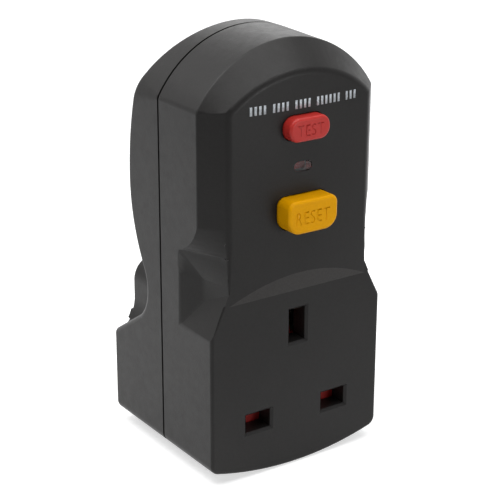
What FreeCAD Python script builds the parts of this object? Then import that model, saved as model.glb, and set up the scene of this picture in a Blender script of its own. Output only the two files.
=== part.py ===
import FreeCAD, Part
import math
import os
import Sketcher
from FreeCAD import Placement, Rotation, Vector

# Plug-in residual current adapter with one socket outlet, drawn in millimetres.
# X runs right as seen from the socket side, Y runs back into the wall, Z runs up.
# The origin lies on the wall plane, midway between the live and neutral pins.

doc = FreeCAD.newDocument("rcd_plug_adapter")
sheet = doc.addObject("Spreadsheet::Sheet", "Sizes")

SIZES = {
    # Housing outline, seen from the front
    "body_width": 49.0,
    "crown_top": 90.6,
    "crown_draft": 0.8,
    "crown_shoulder": 76.3,
    "crown_corner": 2.5,
    "foot_drop": 13.9,
    "foot_bow": 3.6,
    "foot_corner": 2.5,
    # Housing depth, measured from the wall plane
    "body_depth": 45.0,
    "rear_depth": 23.4,
    "seam_gap": 0.35,
    "lip_reach": 1.8,
    "lip_thickness": 1.1,
    "lip_play": 0.1,
    "wall": 2.4,
    "face_thickness": 3.0,
    # Sloped border and bowed control panel above the socket
    "border_depth": 5.6,
    "panel_width": 39.2,
    "panel_shoulder": 76.2,
    "panel_top": 84.5,
    "panel_bow": 0.9,
    "socket_top": 31.3,
    "crescent_slope": 0.19,
    "edge_round": 0.8,
    # Finger hollow on each side of the front shell
    "hollow_depth": 13.5,
    "hollow_fold_depth": 8.0,
    "hollow_fold_width": 42.6,
    "hollow_fade_top": 50.0,
    "hollow_apex": 42.2,
    "hollow_full_top": 35.9,
    "hollow_low_front": 23.9,
    "hollow_low_back": 23.6,
    "hollow_low_half": 21.0,
    # Rounded back of the rear shell and its raised pin base
    "back_height": 54.1,
    "back_stand": 8.8,
    "back_radius_above": 75.0,
    "back_radius_below": 43.0,
    "back_corner": 14.0,
    "back_round": 1.5,
    "base_half": 18.8,
    "base_top": 29.4,
    "base_corner": 6.0,
    "base_flare": 12.0,
    "base_flare_run": 4.8,
    "base_flare_top": 19.2,
    "base_round": 1.2,
    "valley_depth": 5.8,
    "valley_height": 27.3,
    "wing_low": 11.3,
    # Pins of the plug and apertures of the socket
    "pin_pitch": 22.2,
    "line_pin_width": 6.35,
    "line_pin_thickness": 4.0,
    "line_pin_reach": 17.7,
    "earth_pin_height": 8.0,
    "earth_pin_thickness": 4.0,
    "earth_pin_reach": 22.7,
    "pin_play": 0.05,
    "pin_flange": 1.8,
    "pin_flange_margin": 0.5,
    "pin_tail": 2.6,
    "sleeve_length": 9.5,
    "sleeve_thickness": 0.6,
    "base_wall": 2.6,
    "line_slot_width": 7.0,
    "line_slot_height": 4.6,
    "earth_slot_width": 4.6,
    "earth_slot_height": 8.4,
    "slot_chamfer": 0.6,
    "slot_depth": 5.0,
    "slot_wall": 1.2,
    # Socket contacts, their carrier and the pins' tray
    "strip_thickness": 0.6,
    "jaw_gap": 4.2,
    "line_jaw_width": 6.0,
    "earth_jaw_height": 7.0,
    "tip_play": 0.2,
    "shutter_play": 0.3,
    "tray_ahead": 1.2,
    "tray_thickness": 2.0,
    "tray_top": 36.0,
    "pillar_radius": 1.6,
    "pillar_x": 18.8,
    "pillar_z": 14.0,
    # Shutter
    "shutter_thickness": 1.6,
    "shutter_travel": 5.8,
    "shutter_cover": 0.3,
    "shutter_stem": 6.4,
    "ramp_depth": 3.5,
    "coil_wire": 0.4,
    # Controls on the panel
    "test_height": 71.0,
    "test_width": 11.2,
    "test_tall": 5.6,
    "test_corner": 2.6,
    "test_proud": 2.8,
    "reset_height": 51.1,
    "reset_stem_rise": 1.6,
    "reset_width": 13.8,
    "reset_tall": 8.0,
    "reset_corner_top": 2.0,
    "reset_corner_low": 3.4,
    "reset_proud": 4.5,
    "button_play": 0.25,
    "button_round": 0.8,
    "button_flange": 1.2,
    "flange_thickness": 1.0,
    "running_play": 0.3,
    "window_height": 61.7,
    "window_width": 5.0,
    "window_tall": 2.4,
    "lens_set_back": 0.15,
    "lens_flange": 0.8,
    # Circuit board and trip mechanism
    "board_front": 20.6,
    "board_width": 34.0,
    "board_low": 39.5,
    "board_top": 73.5,
    "board_back": 19.0,
    "board_post_x": 13.5,
    "board_post_z": 71.4,
    "board_screw_radius": 1.0,
    "board_screw_reach": 3.0,
    "lens_thickness": 0.5,
    "test_stem": 2.4,
    "test_stem_end": 23.2,
    "test_leaf_foot": 9.0,
    "flag_half": 2.75,
    "flag_gap": 0.9,
    "flag_axis_y": 38.4,
    "flag_axis_z": 60.0,
    "flag_top": 64.0,
    "trunnion_radius": 0.8,
    "terminal_inner": 10.3,
    "terminal_outer": 15.0,
    "latch_half": 4.5,
    "latch_arm": 6.8,
    "plunger_back": 10.0,
    "bracket_left": 15.0,
    "bracket_right": 0.8,
    "resistor_radius": 1.6,
    "resistor_length": 8.0,
    "resistor_inner": 1.0,
    "resistor_height": 66.0,
    "capacitor_inner": 2.0,
    "capacitor_length": 12.0,
    "capacitor_low": 46.0,
    "capacitor_tall": 6.5,
    "capacitor_depth": 4.5,
    "absorber_x": 8.0,
    "absorber_height": 56.0,
    "absorber_radius": 4.5,
    "absorber_thickness": 3.6,
    "chip_inner": 13.2,
    "chip_width": 3.3,
    "chip_low": 42.0,
    "chip_length": 6.0,
    "chip_thickness": 1.6,
    "winding": 0.9,
    "ramp_half": 1.8,
    "tip_taper": 1.0,
    "pin_round": 0.4,
    "strap_half": 1.5,
    "strap_low": 20.7,
    "frame_front": 36.0,
    "frame_plate": 1.2,
    "frame_width": 22.0,
    "frame_low": 43.0,
    "frame_top": 61.3,
    "post_radius": 1.2,
    "stem_radius": 2.5,
    "stem_end": 33.0,
    "carrier_front": 31.5,
    "carrier_thickness": 3.0,
    "carrier_low": 45.0,
    "carrier_top": 59.0,
    "contact_reach": 12.0,
    "contact_radius": 1.5,
    "contact_height": 1.0,
    "blade_inner": 5.5,
    "blade_width": 4.6,
    "latch_thickness": 0.8,
    "latch_depth": 27.2,
    "plunger_radius": 1.2,
    "plunger_depth": 25.9,
    "plunger_height": 65.8,
    "coil_radius": 3.5,
    # Earth leakage transformer
    "core_height": 6.5,
    "core_low": 5.0,
    "core_outer": 7.5,
    "core_inner": 3.5,
    "core_depth": 13.5,
    "lead_radius": 0.9,
    # Screws
    "screw_radius": 1.5,
    "screw_head_radius": 2.7,
    "screw_head": 2.0,
    "screw_play": 0.2,
    "boss_radius": 3.2,
    "high_screw_x": 16.5,
    "high_screw_z": 79.5,
    "low_screw_x": 18.6,
    "low_screw_z": -6.5,
}


class Size:
    """A length that knows its number and the sheet expression behind it."""

    def __init__(self, value, text):
        self.value = float(value)
        self.text = text

    def joined(self, other, sign, value):
        return Size(value, "(%s %s %s)" % (self.text, sign, other.text))

    def __add__(self, other):
        other = sized(other)
        return self.joined(other, "+", self.value + other.value)

    def __sub__(self, other):
        other = sized(other)
        return self.joined(other, "-", self.value - other.value)

    def __mul__(self, other):
        other = sized(other)
        return self.joined(other, "*", self.value * other.value)

    def __truediv__(self, other):
        other = sized(other)
        return self.joined(other, "/", self.value / other.value)

    def __radd__(self, other):
        return sized(other) + self

    def __rsub__(self, other):
        return sized(other) - self

    def __rmul__(self, other):
        return sized(other) * self

    def __rtruediv__(self, other):
        return sized(other) / self

    def __neg__(self):
        return Size(-self.value, "(-1 * %s)" % self.text)


def sized(amount):
    return amount if isinstance(amount, Size) else Size(amount, "(%r)" % float(amount))


def root(amount):
    return Size(math.sqrt(amount.value), "sqrt(%s)" % amount.text)


class Dimensions:
    """Every driving size by name."""


dim = Dimensions()
for row, (alias, number) in enumerate(SIZES.items(), 1):
    sheet.set("A%d" % row, alias)
    sheet.set("B%d" % row, str(number))
    sheet.setAlias("B%d" % row, alias)
    setattr(dim, alias, Size(number, "Sizes." + alias))
sheet.recompute()


def bind(thing, prop, amount):
    """Ties one property or constraint to the sheet."""
    thing.setExpression(prop, sized(amount).text)


# Sketches, pads and lofts

# The side of each plane that its sketches face, along the axis that it lacks
FACING = {"XY": 1, "XZ": -1, "YZ": 1}


def new_body(name):
    return doc.addObject("PartDesign::Body", name)


def pinned(sketch, edge, end, axis, amount):
    """Holds one end of a sketch edge at its distance from the sketch's origin."""
    if not isinstance(amount, Size) and amount == 0:
        line = -2 if axis == "X" else -1
        sketch.addConstraint(Sketcher.Constraint("PointOnObject", edge, end, line))
        return
    amount = sized(amount)
    index = sketch.addConstraint(
        Sketcher.Constraint("Distance" + axis, edge, end, amount.value))
    bind(sketch, "Constraints[%d]" % index, amount)


def arc_middle(start, end, radius):
    """The middle point of the short arc; a positive radius turns anticlockwise."""
    chord = end - start
    half = chord.Length / 2
    rise = abs(radius) - math.sqrt(max(radius * radius - half * half, 0))
    out = Vector(chord.y, -chord.x, 0).normalize() * math.copysign(rise, radius)
    return (start + end) / 2 + out


def add_outline(sketch, corners):
    """A closed outline; a corner with a third value is reached by an arc of that radius."""
    count = len(corners)
    spots = [Vector(sized(c[0]).value, sized(c[1]).value, 0) for c in corners]
    first = sketch.GeometryCount
    ends = []
    for i in range(count):
        start, end = spots[i], spots[(i + 1) % count]
        reach = corners[(i + 1) % count]
        if len(reach) == 3:
            radius = sized(reach[2]).value
            middle = arc_middle(start, end, radius)
            sketch.addGeometry(Part.Arc(start, middle, end), False)
            ends.append((1, 2) if radius > 0 else (2, 1))
        else:
            sketch.addGeometry(Part.LineSegment(start, end), False)
            ends.append((1, 2))
    for i in range(count):
        after = (i + 1) % count
        sketch.addConstraint(Sketcher.Constraint(
            "Coincident", first + i, ends[i][1], first + after, ends[after][0]))
        pinned(sketch, first + i, ends[i][0], "X", corners[i][0])
        pinned(sketch, first + i, ends[i][0], "Y", corners[i][1])
        if len(corners[after]) == 3:
            radius = sized(corners[after][2])
            radius = radius if radius.value > 0 else -radius
            index = sketch.addConstraint(
                Sketcher.Constraint("Radius", first + i, radius.value))
            bind(sketch, "Constraints[%d]" % index, radius)


def add_circle(sketch, across, up, radius):
    centre = Vector(sized(across).value, sized(up).value, 0)
    edge = sketch.addGeometry(
        Part.Circle(centre, Vector(0, 0, 1), sized(radius).value), False)
    pinned(sketch, edge, 3, "X", across)
    pinned(sketch, edge, 3, "Y", up)
    index = sketch.addConstraint(Sketcher.Constraint("Radius", edge, sized(radius).value))
    bind(sketch, "Constraints[%d]" % index, radius)


def draw(body, plane, place, outlines=(), circles=()):
    sketch = body.newObject("Sketcher::SketchObject", "Outline")
    support = [o for o in body.Origin.OriginFeatures if o.Role == plane + "_Plane"]
    sketch.AttachmentSupport = [(support[0], "")]
    sketch.MapMode = "FlatFace"
    bind(sketch, "AttachmentOffset.Base.z", sized(place) * FACING[plane])
    for corners in outlines:
        add_outline(sketch, corners)
    for across, up, radius in circles:
        add_circle(sketch, across, up, radius)
    sketch.recompute()
    return sketch


def volume(thing):
    return 0.0 if thing.Shape.isNull() else thing.Shape.Volume


def settle(body, feature):
    feature.recompute()
    body.recompute()


def pad(body, plane, start, end, *outlines, circles=()):
    """Adds the outlines' prism between two places on the axis that the plane lacks."""
    sketch = draw(body, plane, start, outlines, circles)
    travel = (sized(end) - start) * FACING[plane]
    feature = body.newObject("PartDesign::Pad", "Pad")
    feature.Profile = sketch
    feature.Reversed = travel.value < 0
    bind(feature, "Length", travel if travel.value > 0 else -travel)
    settle(body, feature)
    return body


def pocket(body, plane, start, end, *outlines, circles=()):
    """Cuts the outlines' prism between two places, and makes sure that it cuts."""
    before = volume(body)
    sketch = draw(body, plane, start, outlines, circles)
    travel = (sized(end) - start) * FACING[plane]
    feature = body.newObject("PartDesign::Pocket", "Pocket")
    feature.Profile = sketch
    feature.Reversed = travel.value > 0
    bind(feature, "Length", travel if travel.value > 0 else -travel)
    settle(body, feature)
    if volume(body) > before - 1e-6:
        raise RuntimeError("a pocket in %s cuts nothing" % body.Label)
    return body


def loft(body, plane, sections):
    """Adds a straight-sided loft through outlines given with their places."""
    sketches = [draw(body, plane, place, [corners]) for place, corners in sections]
    feature = body.newObject("PartDesign::AdditiveLoft", "Loft")
    feature.Profile = sketches[0]
    feature.Sections = sketches[1:]
    feature.Ruled = True
    settle(body, feature)
    return body


def round_body(body, radius, chosen):
    """Rounds the edges of a body that the test picks."""
    tip = body.Tip
    names = ["Edge%d" % (i + 1) for i, edge in enumerate(tip.Shape.Edges) if chosen(edge)]
    feature = body.newObject("PartDesign::Fillet", "Round")
    feature.Base = (tip, names)
    bind(feature, "Radius", radius)
    settle(body, feature)
    return body


# Simple solids and how they are put together

TURNS = {"X": Rotation(Vector(0, 1, 0), 90),
         "Y": Rotation(Vector(1, 0, 0), -90),
         "Z": Rotation()}


def box(low, high):
    """A box between two corners."""
    thing = doc.addObject("Part::Box", "Block")
    for axis, side, a, b in zip("xyz", ("Length", "Width", "Height"), low, high):
        bind(thing, "Placement.Base." + axis, a)
        bind(thing, side, sized(b) - a)
    thing.recompute()
    return thing


def rod(axis, centre, start, end, radius):
    """A cylinder along one axis; centre gives the other two coordinates in X, Y, Z order."""
    thing = doc.addObject("Part::Cylinder", "Rod")
    thing.Placement = Placement(Vector(), TURNS[axis])
    others = iter(centre)
    for name in "XYZ":
        amount = start if name == axis else next(others)
        bind(thing, "Placement.Base." + name.lower(), amount)
    bind(thing, "Height", sized(end) - start)
    bind(thing, "Radius", radius)
    thing.recompute()
    return thing


def fuse(*things):
    thing = doc.addObject("Part::MultiFuse", "Joined")
    thing.Shapes = list(things)
    thing.Refine = True
    thing.recompute()
    return thing


def common(*things):
    thing = doc.addObject("Part::MultiCommon", "Shared")
    thing.Shapes = list(things)
    thing.Refine = True
    thing.recompute()
    return thing


def cut(base, *tools):
    """The base without the tools, and a check that each tool took something away."""
    for tool in tools:
        before = volume(base)
        thing = doc.addObject("Part::Cut", "Carved")
        thing.Base = base
        thing.Tool = tool
        thing.Refine = True
        thing.recompute()
        if volume(thing) > before - 1e-6:
            raise RuntimeError("a cut with %s removes nothing" % tool.Label)
        base = thing
    return base


def mirrored(thing):
    """The same piece on the other side of the middle plane."""
    copy = doc.addObject("Part::Mirroring", "Mirrored")
    copy.Source = thing
    copy.Base = Vector()
    copy.Normal = Vector(1, 0, 0)
    copy.recompute()
    return copy


def rounded(thing, radius, chosen):
    """The piece with the edges that the test picks rounded."""
    amount = sized(radius).value
    names = [i + 1 for i, edge in enumerate(thing.Shape.Edges) if chosen(edge)]
    smooth = doc.addObject("Part::Fillet", "Round")
    smooth.Base = thing
    smooth.Edges = [(name, amount, amount) for name in names]
    smooth.recompute()
    return smooth


NODES = {}


def node(name, thing):
    """Names a finished piece after its file."""
    thing.Label = name
    NODES[name] = thing
    return thing


def rectangle(left, low, right, high):
    return [(left, low), (right, low), (right, high), (left, high)]


# Outline of both shells

half_width = dim.body_width / 2
front = -dim.body_depth
parting = -dim.rear_depth
foot_radius = (half_width * half_width + dim.foot_bow * dim.foot_bow) / (2 * dim.foot_bow)
foot_centre = foot_radius - dim.foot_drop


def blend(half, centre, radius, corner, up):
    """Where a corner arc meets the upright side and the end arc of the outline."""
    run = half - corner
    rise = root((radius - corner) * (radius - corner) - run * run) * up
    stretch = radius / (radius - corner)
    return centre + rise, run * stretch, centre + rise * stretch


def shell_outline(inset, top, corner, foot_corner):
    """The adapter's outline: upright sides, domed crown and slightly bowed foot."""
    half = half_width - inset
    rise = top - dim.crown_shoulder
    crown_radius = (half_width * half_width + rise * rise) / (2 * rise)
    crown_centre = top - crown_radius
    radius = crown_radius - inset
    side_top, crown_x, crown_z = blend(half, crown_centre, radius, corner, 1)
    bow = foot_radius - inset
    side_low, foot_x, foot_z = blend(half, foot_centre, bow, foot_corner, -1)
    return [
        (-foot_x, foot_z, foot_corner),
        (foot_x, foot_z, bow),
        (half, side_low, foot_corner),
        (half, side_top),
        (crown_x, crown_z, corner),
        (-crown_x, crown_z, radius),
        (-half, side_top, corner),
        (-half, side_low),
    ]


# Front shell, outer form

seam_front = parting - dim.seam_gap / 2
panel_half = dim.panel_width / 2
border_slope = (half_width - panel_half) / dim.border_depth
proud = 2 * dim.panel_bow
crown_at_front = dim.crown_top - dim.crown_draft
forward = front - proud

front_form = loft(new_body("FrontForm"), "XZ", [
    (seam_front, shell_outline(0, dim.crown_top, dim.crown_corner, dim.foot_corner)),
    (forward, shell_outline(0, crown_at_front, dim.crown_corner, dim.foot_corner)),
])

border_top_slope = (crown_at_front - dim.panel_top) / dim.border_depth


def panel_section(depth):
    """The sloped border's outline at a depth behind the socket face."""
    half = panel_half + border_slope * depth
    top = dim.panel_top + border_top_slope * depth
    rise = top - dim.panel_shoulder
    radius = (half * half + rise * rise) / (2 * rise)
    low = dim.hollow_low_back
    return [(-half, low), (half, low), (half, dim.panel_shoulder),
            (-half, dim.panel_shoulder, radius)]


border_back = dim.body_depth - dim.rear_depth
panel_form = loft(new_body("PanelForm"), "XZ", [
    (front + border_back, panel_section(border_back)),
    (forward, panel_section(-proud)),
])

bow_radius = (panel_half * panel_half + dim.panel_bow * dim.panel_bow) / (2 * dim.panel_bow)
bow_edge = front - dim.panel_bow + bow_radius - root(
    bow_radius * bow_radius - half_width * half_width)
bow_form = pad(new_body("PanelBow"), "XY", dim.socket_top, dim.crown_top, [
    (-half_width, seam_front), (-half_width, bow_edge),
    (half_width, bow_edge, bow_radius), (half_width, seam_front)])

crescent_form = pad(new_body("Crescent"), "YZ", -half_width, half_width, [
    (forward, dim.socket_top + proud / dim.crescent_slope),
    (front, dim.socket_top), (seam_front, dim.socket_top),
    (seam_front, dim.crown_top), (forward, dim.crown_top)])

upper_form = common(front_form, panel_form, bow_form, crescent_form)
lower_form = common(front_form, box(
    (-half_width, front, -dim.foot_drop), (half_width, seam_front, dim.socket_top)))


def spot(corner):
    return Vector(*[sized(c).value for c in corner])


def lofted(sections, ruled):
    """A closed solid through sections given as lists of corner points."""
    wires = []
    for corners in sections:
        spots = [spot(corner) for corner in corners]
        wires.append(Part.makePolygon(spots + spots[:1]))
    thing = doc.addObject("Part::Feature", "Lofted")
    thing.Shape = Part.makeLoft(wires, True, ruled)
    return thing


def slab_under(corners, drop):
    """Everything within a drop below a flat patch."""
    spots = [spot(corner) for corner in corners]
    patch = Part.Face(Part.makePolygon(spots + spots[:1]))
    thing = doc.addObject("Part::Feature", "Slab")
    thing.Shape = patch.extrude(Vector(0, 0, -sized(drop).value))
    return thing


# The finger hollow folds inwards between the border above and the socket block below
fold_half = dim.hollow_fold_width / 2
clear = dim.border_depth / 2


def hollow_level(fold_x, fold_depth, rim_depth, height):
    """One level of the hollow's cutter, from in front of the panel to beside the shell."""
    past = clear / (half_width - fold_x)
    return [
        (panel_half - clear / 8, front - clear, height),
        (panel_half, front, height),
        (fold_x, front + fold_depth, height),
        (half_width + clear, front + rim_depth + (rim_depth - fold_depth) * past, height),
        (half_width + 2 * clear, front - clear, height),
    ]


apex_in = dim.edge_round / 4


def fading_level(rim_depth, inner, height):
    """A level where the hollow is still one plain slope from the panel to the rim."""
    run = half_width - panel_half
    return hollow_level(half_width - inner, rim_depth * (run - inner) / run, rim_depth, height)


hollow_mouth = hollow_level(
    fold_half, dim.hollow_fold_depth, dim.hollow_depth, dim.hollow_full_top)
fade = dim.hollow_fade_top - dim.hollow_apex
deeper = dim.hollow_depth - dim.border_depth
middle = (half_width - panel_half) / 2
hollow_apex = fading_level(dim.hollow_depth, apex_in, dim.hollow_apex)
hollow_fade = lofted([
    fading_level(dim.border_depth + deeper * reached, middle, dim.hollow_fade_top - fade * down)
    for down, reached in ((0, 0), (0.2, 0.07), (0.4, 0.18), (0.6, 0.34), (0.75, 0.51), (0.9, 0.77))
] + [hollow_apex], True)
hollow_pocket = lofted([hollow_apex, hollow_mouth], True)
hollow_prism = lofted([hollow_mouth, hollow_level(
    fold_half, dim.hollow_fold_depth, dim.hollow_depth,
    dim.hollow_low_back - 3 * clear)], True)

# The hollow ends below in one slanting face, which clips the socket face's upper corners
low_rise = (dim.socket_top - dim.hollow_low_front) / (half_width - dim.hollow_low_half)
low_fall = (dim.hollow_low_front - dim.hollow_low_back) / dim.hollow_depth


def shelf(x, y):
    return (x, y, dim.hollow_low_front + (half_width - x) * low_rise - (y - front) * low_fall)


outer_x = half_width + 3 * clear
inner_x = panel_half - 2 * clear
shelf_slab = slab_under([
    shelf(inner_x, front - 2 * clear), shelf(outer_x, front - 2 * clear),
    shelf(outer_x, parting), shelf(inner_x, parting)], dim.crown_top)
hollow_left = cut(fuse(hollow_fade, hollow_pocket, hollow_prism), shelf_slab)
hollow_right = mirrored(hollow_left)
front_outer = cut(fuse(upper_form, lower_form), hollow_left, hollow_right)


def flat_at(edge, axis, place):
    """Whether an edge lies in the plane at one place along an axis."""
    bounds = edge.BoundBox
    lowest = getattr(bounds, axis + "Min")
    highest = getattr(bounds, axis + "Max")
    return highest - lowest < 0.02 and abs(lowest - sized(place).value) < 0.02


def on_socket_rim(edge):
    """The socket face's edges, but not its straight joint with the crescent."""
    joint = edge.BoundBox
    return flat_at(edge, "Y", front) and joint.ZMin < dim.hollow_low_front.value and \
        joint.ZMax < dim.socket_top.value + 0.02


def on_border_crease(edge):
    """The outer edge of the sloped border, round the crown from side to side."""
    bounds = edge.BoundBox
    near = (front + dim.border_depth * 0.9).value, (front + dim.border_depth * 1.1).value
    return bounds.YMin > near[0] and bounds.YMax < near[1] and \
        bounds.ZMin > dim.hollow_fade_top.value - 0.02


front_smooth = rounded(front_outer, dim.edge_round,
                       lambda edge: on_socket_rim(edge) or on_border_crease(edge))

# Front shell: the room inside, the rebate for the seam and what stands in it
face_in = front + dim.face_thickness
rebate = dim.wall - dim.lip_thickness - dim.lip_play
deck = front + dim.hollow_depth + dim.panel_bow / 4
tray_half = panel_half - dim.wall
tray_top = dim.panel_top - dim.wall
block_top = dim.hollow_low_back - dim.wall

front_room = pad(new_body("FrontRoom"), "XZ", seam_front, deck,
                 shell_outline(dim.wall, dim.crown_top - dim.crown_draft,
                               dim.crown_corner, dim.foot_corner))
pad(front_room, "XZ", seam_front, seam_front - dim.lip_reach,
    shell_outline(rebate, dim.crown_top, dim.crown_corner, dim.foot_corner - rebate))
tray_rise = tray_top - (dim.panel_shoulder - dim.wall)
pad(front_room, "XZ", deck, face_in, [
    (-tray_half, block_top - dim.wall), (tray_half, block_top - dim.wall),
    (tray_half, dim.panel_shoulder - dim.wall),
    (-tray_half, dim.panel_shoulder - dim.wall,
     (tray_half * tray_half + tray_rise * tray_rise) / (2 * tray_rise))])
block_half = half_width - dim.wall
block_low = -dim.foot_drop + dim.foot_bow / 2 + dim.wall
block_side = block_low + dim.foot_corner
block_run = block_half - dim.foot_corner
well_half = dim.shutter_stem / 2
well_low = -dim.foot_drop + dim.wall
pad(front_room, "XZ", deck, face_in, [
    (-block_half, block_side), (-block_run, block_low), (-well_half, block_low),
    (-well_half, well_low), (well_half, well_low), (well_half, block_low),
    (block_run, block_low), (block_half, block_side),
    (block_half, block_top), (-block_half, block_top)])
front_shell = cut(front_smooth, front_room)

# Places that the inner pieces share
seam_rear = parting + dim.seam_gap / 2
half_pitch = dim.pin_pitch / 2
earth_height = dim.pin_pitch
stem_height = dim.reset_height + dim.reset_stem_rise
slot_end = front + dim.slot_depth
shutter_front = slot_end + dim.shutter_play
shutter_back = shutter_front + dim.shutter_thickness
screw_spots = [(dim.high_screw_x, dim.high_screw_z), (dim.low_screw_x, dim.low_screw_z)]


def slot_outline(x, z, half_wide, half_tall):
    return rectangle(x - half_wide, z - half_tall, x + half_wide, z + half_tall)


SLOTS = [
    (-half_pitch, 0, dim.line_slot_width / 2, dim.line_slot_height / 2),
    (half_pitch, 0, dim.line_slot_width / 2, dim.line_slot_height / 2),
    (0, earth_height, dim.earth_slot_width / 2, dim.earth_slot_height / 2),
]


def slot_cutter(x, z, half_wide, half_tall):
    """A passage for one pin, bevelled where it opens in the socket face."""
    wider = 2 * dim.slot_chamfer
    body = loft(new_body("Slot"), "XZ", [
        (front + dim.slot_chamfer, slot_outline(x, z, half_wide, half_tall)),
        (front - dim.slot_chamfer, slot_outline(x, z, half_wide + wider, half_tall + wider)),
    ])
    return pad(body, "XZ", slot_end + dim.slot_wall, front + dim.slot_chamfer,
               slot_outline(x, z, half_wide, half_tall))


def rounded_outline(z, width, tall, corner_top, corner_low, grown):
    """A button's outline about the middle plane, with its own top and bottom corners."""
    half = width / 2 + grown
    low = z - tall / 2 - grown
    high = z + tall / 2 + grown
    top = corner_top + grown
    bottom = corner_low + grown
    return [
        (-half + bottom, low), (half - bottom, low), (half, low + bottom, bottom),
        (half, high - top), (half - top, high, top),
        (-half + top, high), (-half, high - top, top), (-half, low + bottom),
    ]


def closed_round(corners, radius):
    """Lets the first corner of an outline be reached by an arc too."""
    first = corners[0]
    return [(first[0], first[1], radius)] + corners[1:]


def button_outline(grown, z, width, tall, corner_top, corner_low):
    corners = rounded_outline(z, width, tall, corner_top, corner_low, grown)
    return closed_round(corners, corner_low + grown)


TEST = (dim.test_height, dim.test_width, dim.test_tall, dim.test_corner, dim.test_corner)
RESET = (dim.reset_height, dim.reset_width, dim.reset_tall,
         dim.reset_corner_top, dim.reset_corner_low)


def window_outline(grown):
    corner = dim.window_tall / 2 * 0.98
    return button_outline(grown, dim.window_height, dim.window_width, dim.window_tall,
                          corner, corner)


# Front shell: collars, screw bosses and shutter guides, then the openings
stands = []
for x, z, half_wide, half_tall in SLOTS:
    rim = dim.slot_wall
    stands.append(box((x - half_wide - rim, face_in - dim.wall / 2, z - half_tall - rim),
                      (x + half_wide + rim, slot_end, z + half_tall + rim)))
boss_front = front + dim.border_depth + dim.wall
for x, z in screw_spots:
    for side in (-1, 1):
        stands.append(rod("Y", (x * side, z), boss_front, seam_front, dim.boss_radius))
guide = dim.shutter_stem / 2 + dim.running_play
guide_low = dim.line_slot_height / 2 + dim.shutter_cover + dim.running_play
for side in (-1, 1):
    inner, outer = sorted((guide * side, (guide + dim.slot_wall) * side),
                          key=lambda amount: amount.value)
    stands.append(box((inner, face_in - dim.wall / 2, guide_low),
                      (outer, shutter_back, earth_height - dim.earth_slot_height)))
tray_front = parting - dim.tray_ahead
tray_back = tray_front + dim.tray_thickness
for side in (-1, 1):
    stands.append(rod("Y", (dim.pillar_x * side, dim.pillar_z), face_in - dim.wall / 2,
                      tray_front, dim.pillar_radius))
front_solid = fuse(front_shell, *stands)
openings = [slot_cutter(*slot) for slot in SLOTS]
openings.append(pad(new_body("TestHole"), "XZ", deck, forward,
                    button_outline(dim.button_play, *TEST)))
openings.append(pad(new_body("ResetHole"), "XZ", deck, forward,
                    button_outline(dim.button_play, *RESET)))
openings.append(pad(new_body("WindowHole"), "XZ", deck, forward, window_outline(0)))
pilot_end = front + dim.hollow_depth
for x, z in screw_spots:
    for side in (-1, 1):
        openings.append(rod("Y", (x * side, z), pilot_end, seam_front, dim.screw_radius))
node("front_housing", cut(front_solid, *openings))

# Rear shell, outer form
back_top = -dim.back_stand
back_form = loft(new_body("BackForm"), "XZ", [
    (-dim.back_stand + dim.wall / 2,
     shell_outline(0, dim.crown_top, dim.back_corner, dim.foot_corner)),
    (seam_rear, shell_outline(0, dim.crown_top, dim.crown_corner, dim.foot_corner)),
])


def along(start, end, part):
    """The point at a share of the way from one point to another."""
    return tuple(a + (b - a) * part for a, b in zip(start, end))


# The back seen from the side: a bulge, then a valley for the fingers, then the pin block
bulge_centre = (back_top - dim.back_radius_below, dim.back_height)
valley_centre = (-dim.valley_depth, dim.valley_height)
apart_y = valley_centre[0] - bulge_centre[0]
apart_z = valley_centre[1] - bulge_centre[1]
apart = root(apart_y * apart_y + apart_z * apart_z)
valley_radius = apart - dim.back_radius_below
rise_to_valley = dim.valley_height - dim.wing_low
reach = root(dim.valley_depth * dim.valley_depth + rise_to_valley * rise_to_valley)
run_up = root(reach * reach - valley_radius * valley_radius)
wing_y = (-dim.valley_depth * run_up - rise_to_valley * valley_radius) * run_up / (reach * reach)
wing_z = dim.wing_low + (
    rise_to_valley * run_up - dim.valley_depth * valley_radius) * run_up / (reach * reach)
wing_slope = (wing_z - dim.wing_low) / wing_y


def lip_point(inset):
    """Where the bulge runs over into the valley, on the line between their centres."""
    return along(bulge_centre, valley_centre, (dim.back_radius_below - inset) / apart)


def back_profile(inset):
    """The bulge from the side, with the room inside it when inset."""
    apex = back_top - inset
    above = dim.back_radius_above - inset
    top_rise = dim.crown_top + inset - dim.back_height
    top_sag = above - root(above * above - top_rise * top_rise)
    lip = lip_point(inset)
    return [
        (seam_rear - inset, lip[1]), lip,
        (apex, dim.back_height, dim.back_radius_below - inset),
        (apex - top_sag, dim.crown_top + inset, above), (seam_rear - inset, dim.crown_top + inset),
    ]


def block_profile(inset, base, low):
    """The pin block and the valley above it from the side."""
    lip = lip_point(inset)
    radius = valley_radius + inset
    wing = along(valley_centre, (wing_y, wing_z), radius / valley_radius)
    return [
        (seam_rear - inset, low), (base, low), (base, wing[1] + (base - wing[0]) * wing_slope),
        wing, (lip[0], lip[1], -radius), (seam_rear - inset, lip[1]),
    ]


back_slice = pad(new_body("BackSlice"), "YZ", -half_width, half_width, back_profile(0))
bulge = common(back_form, back_slice)

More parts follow.
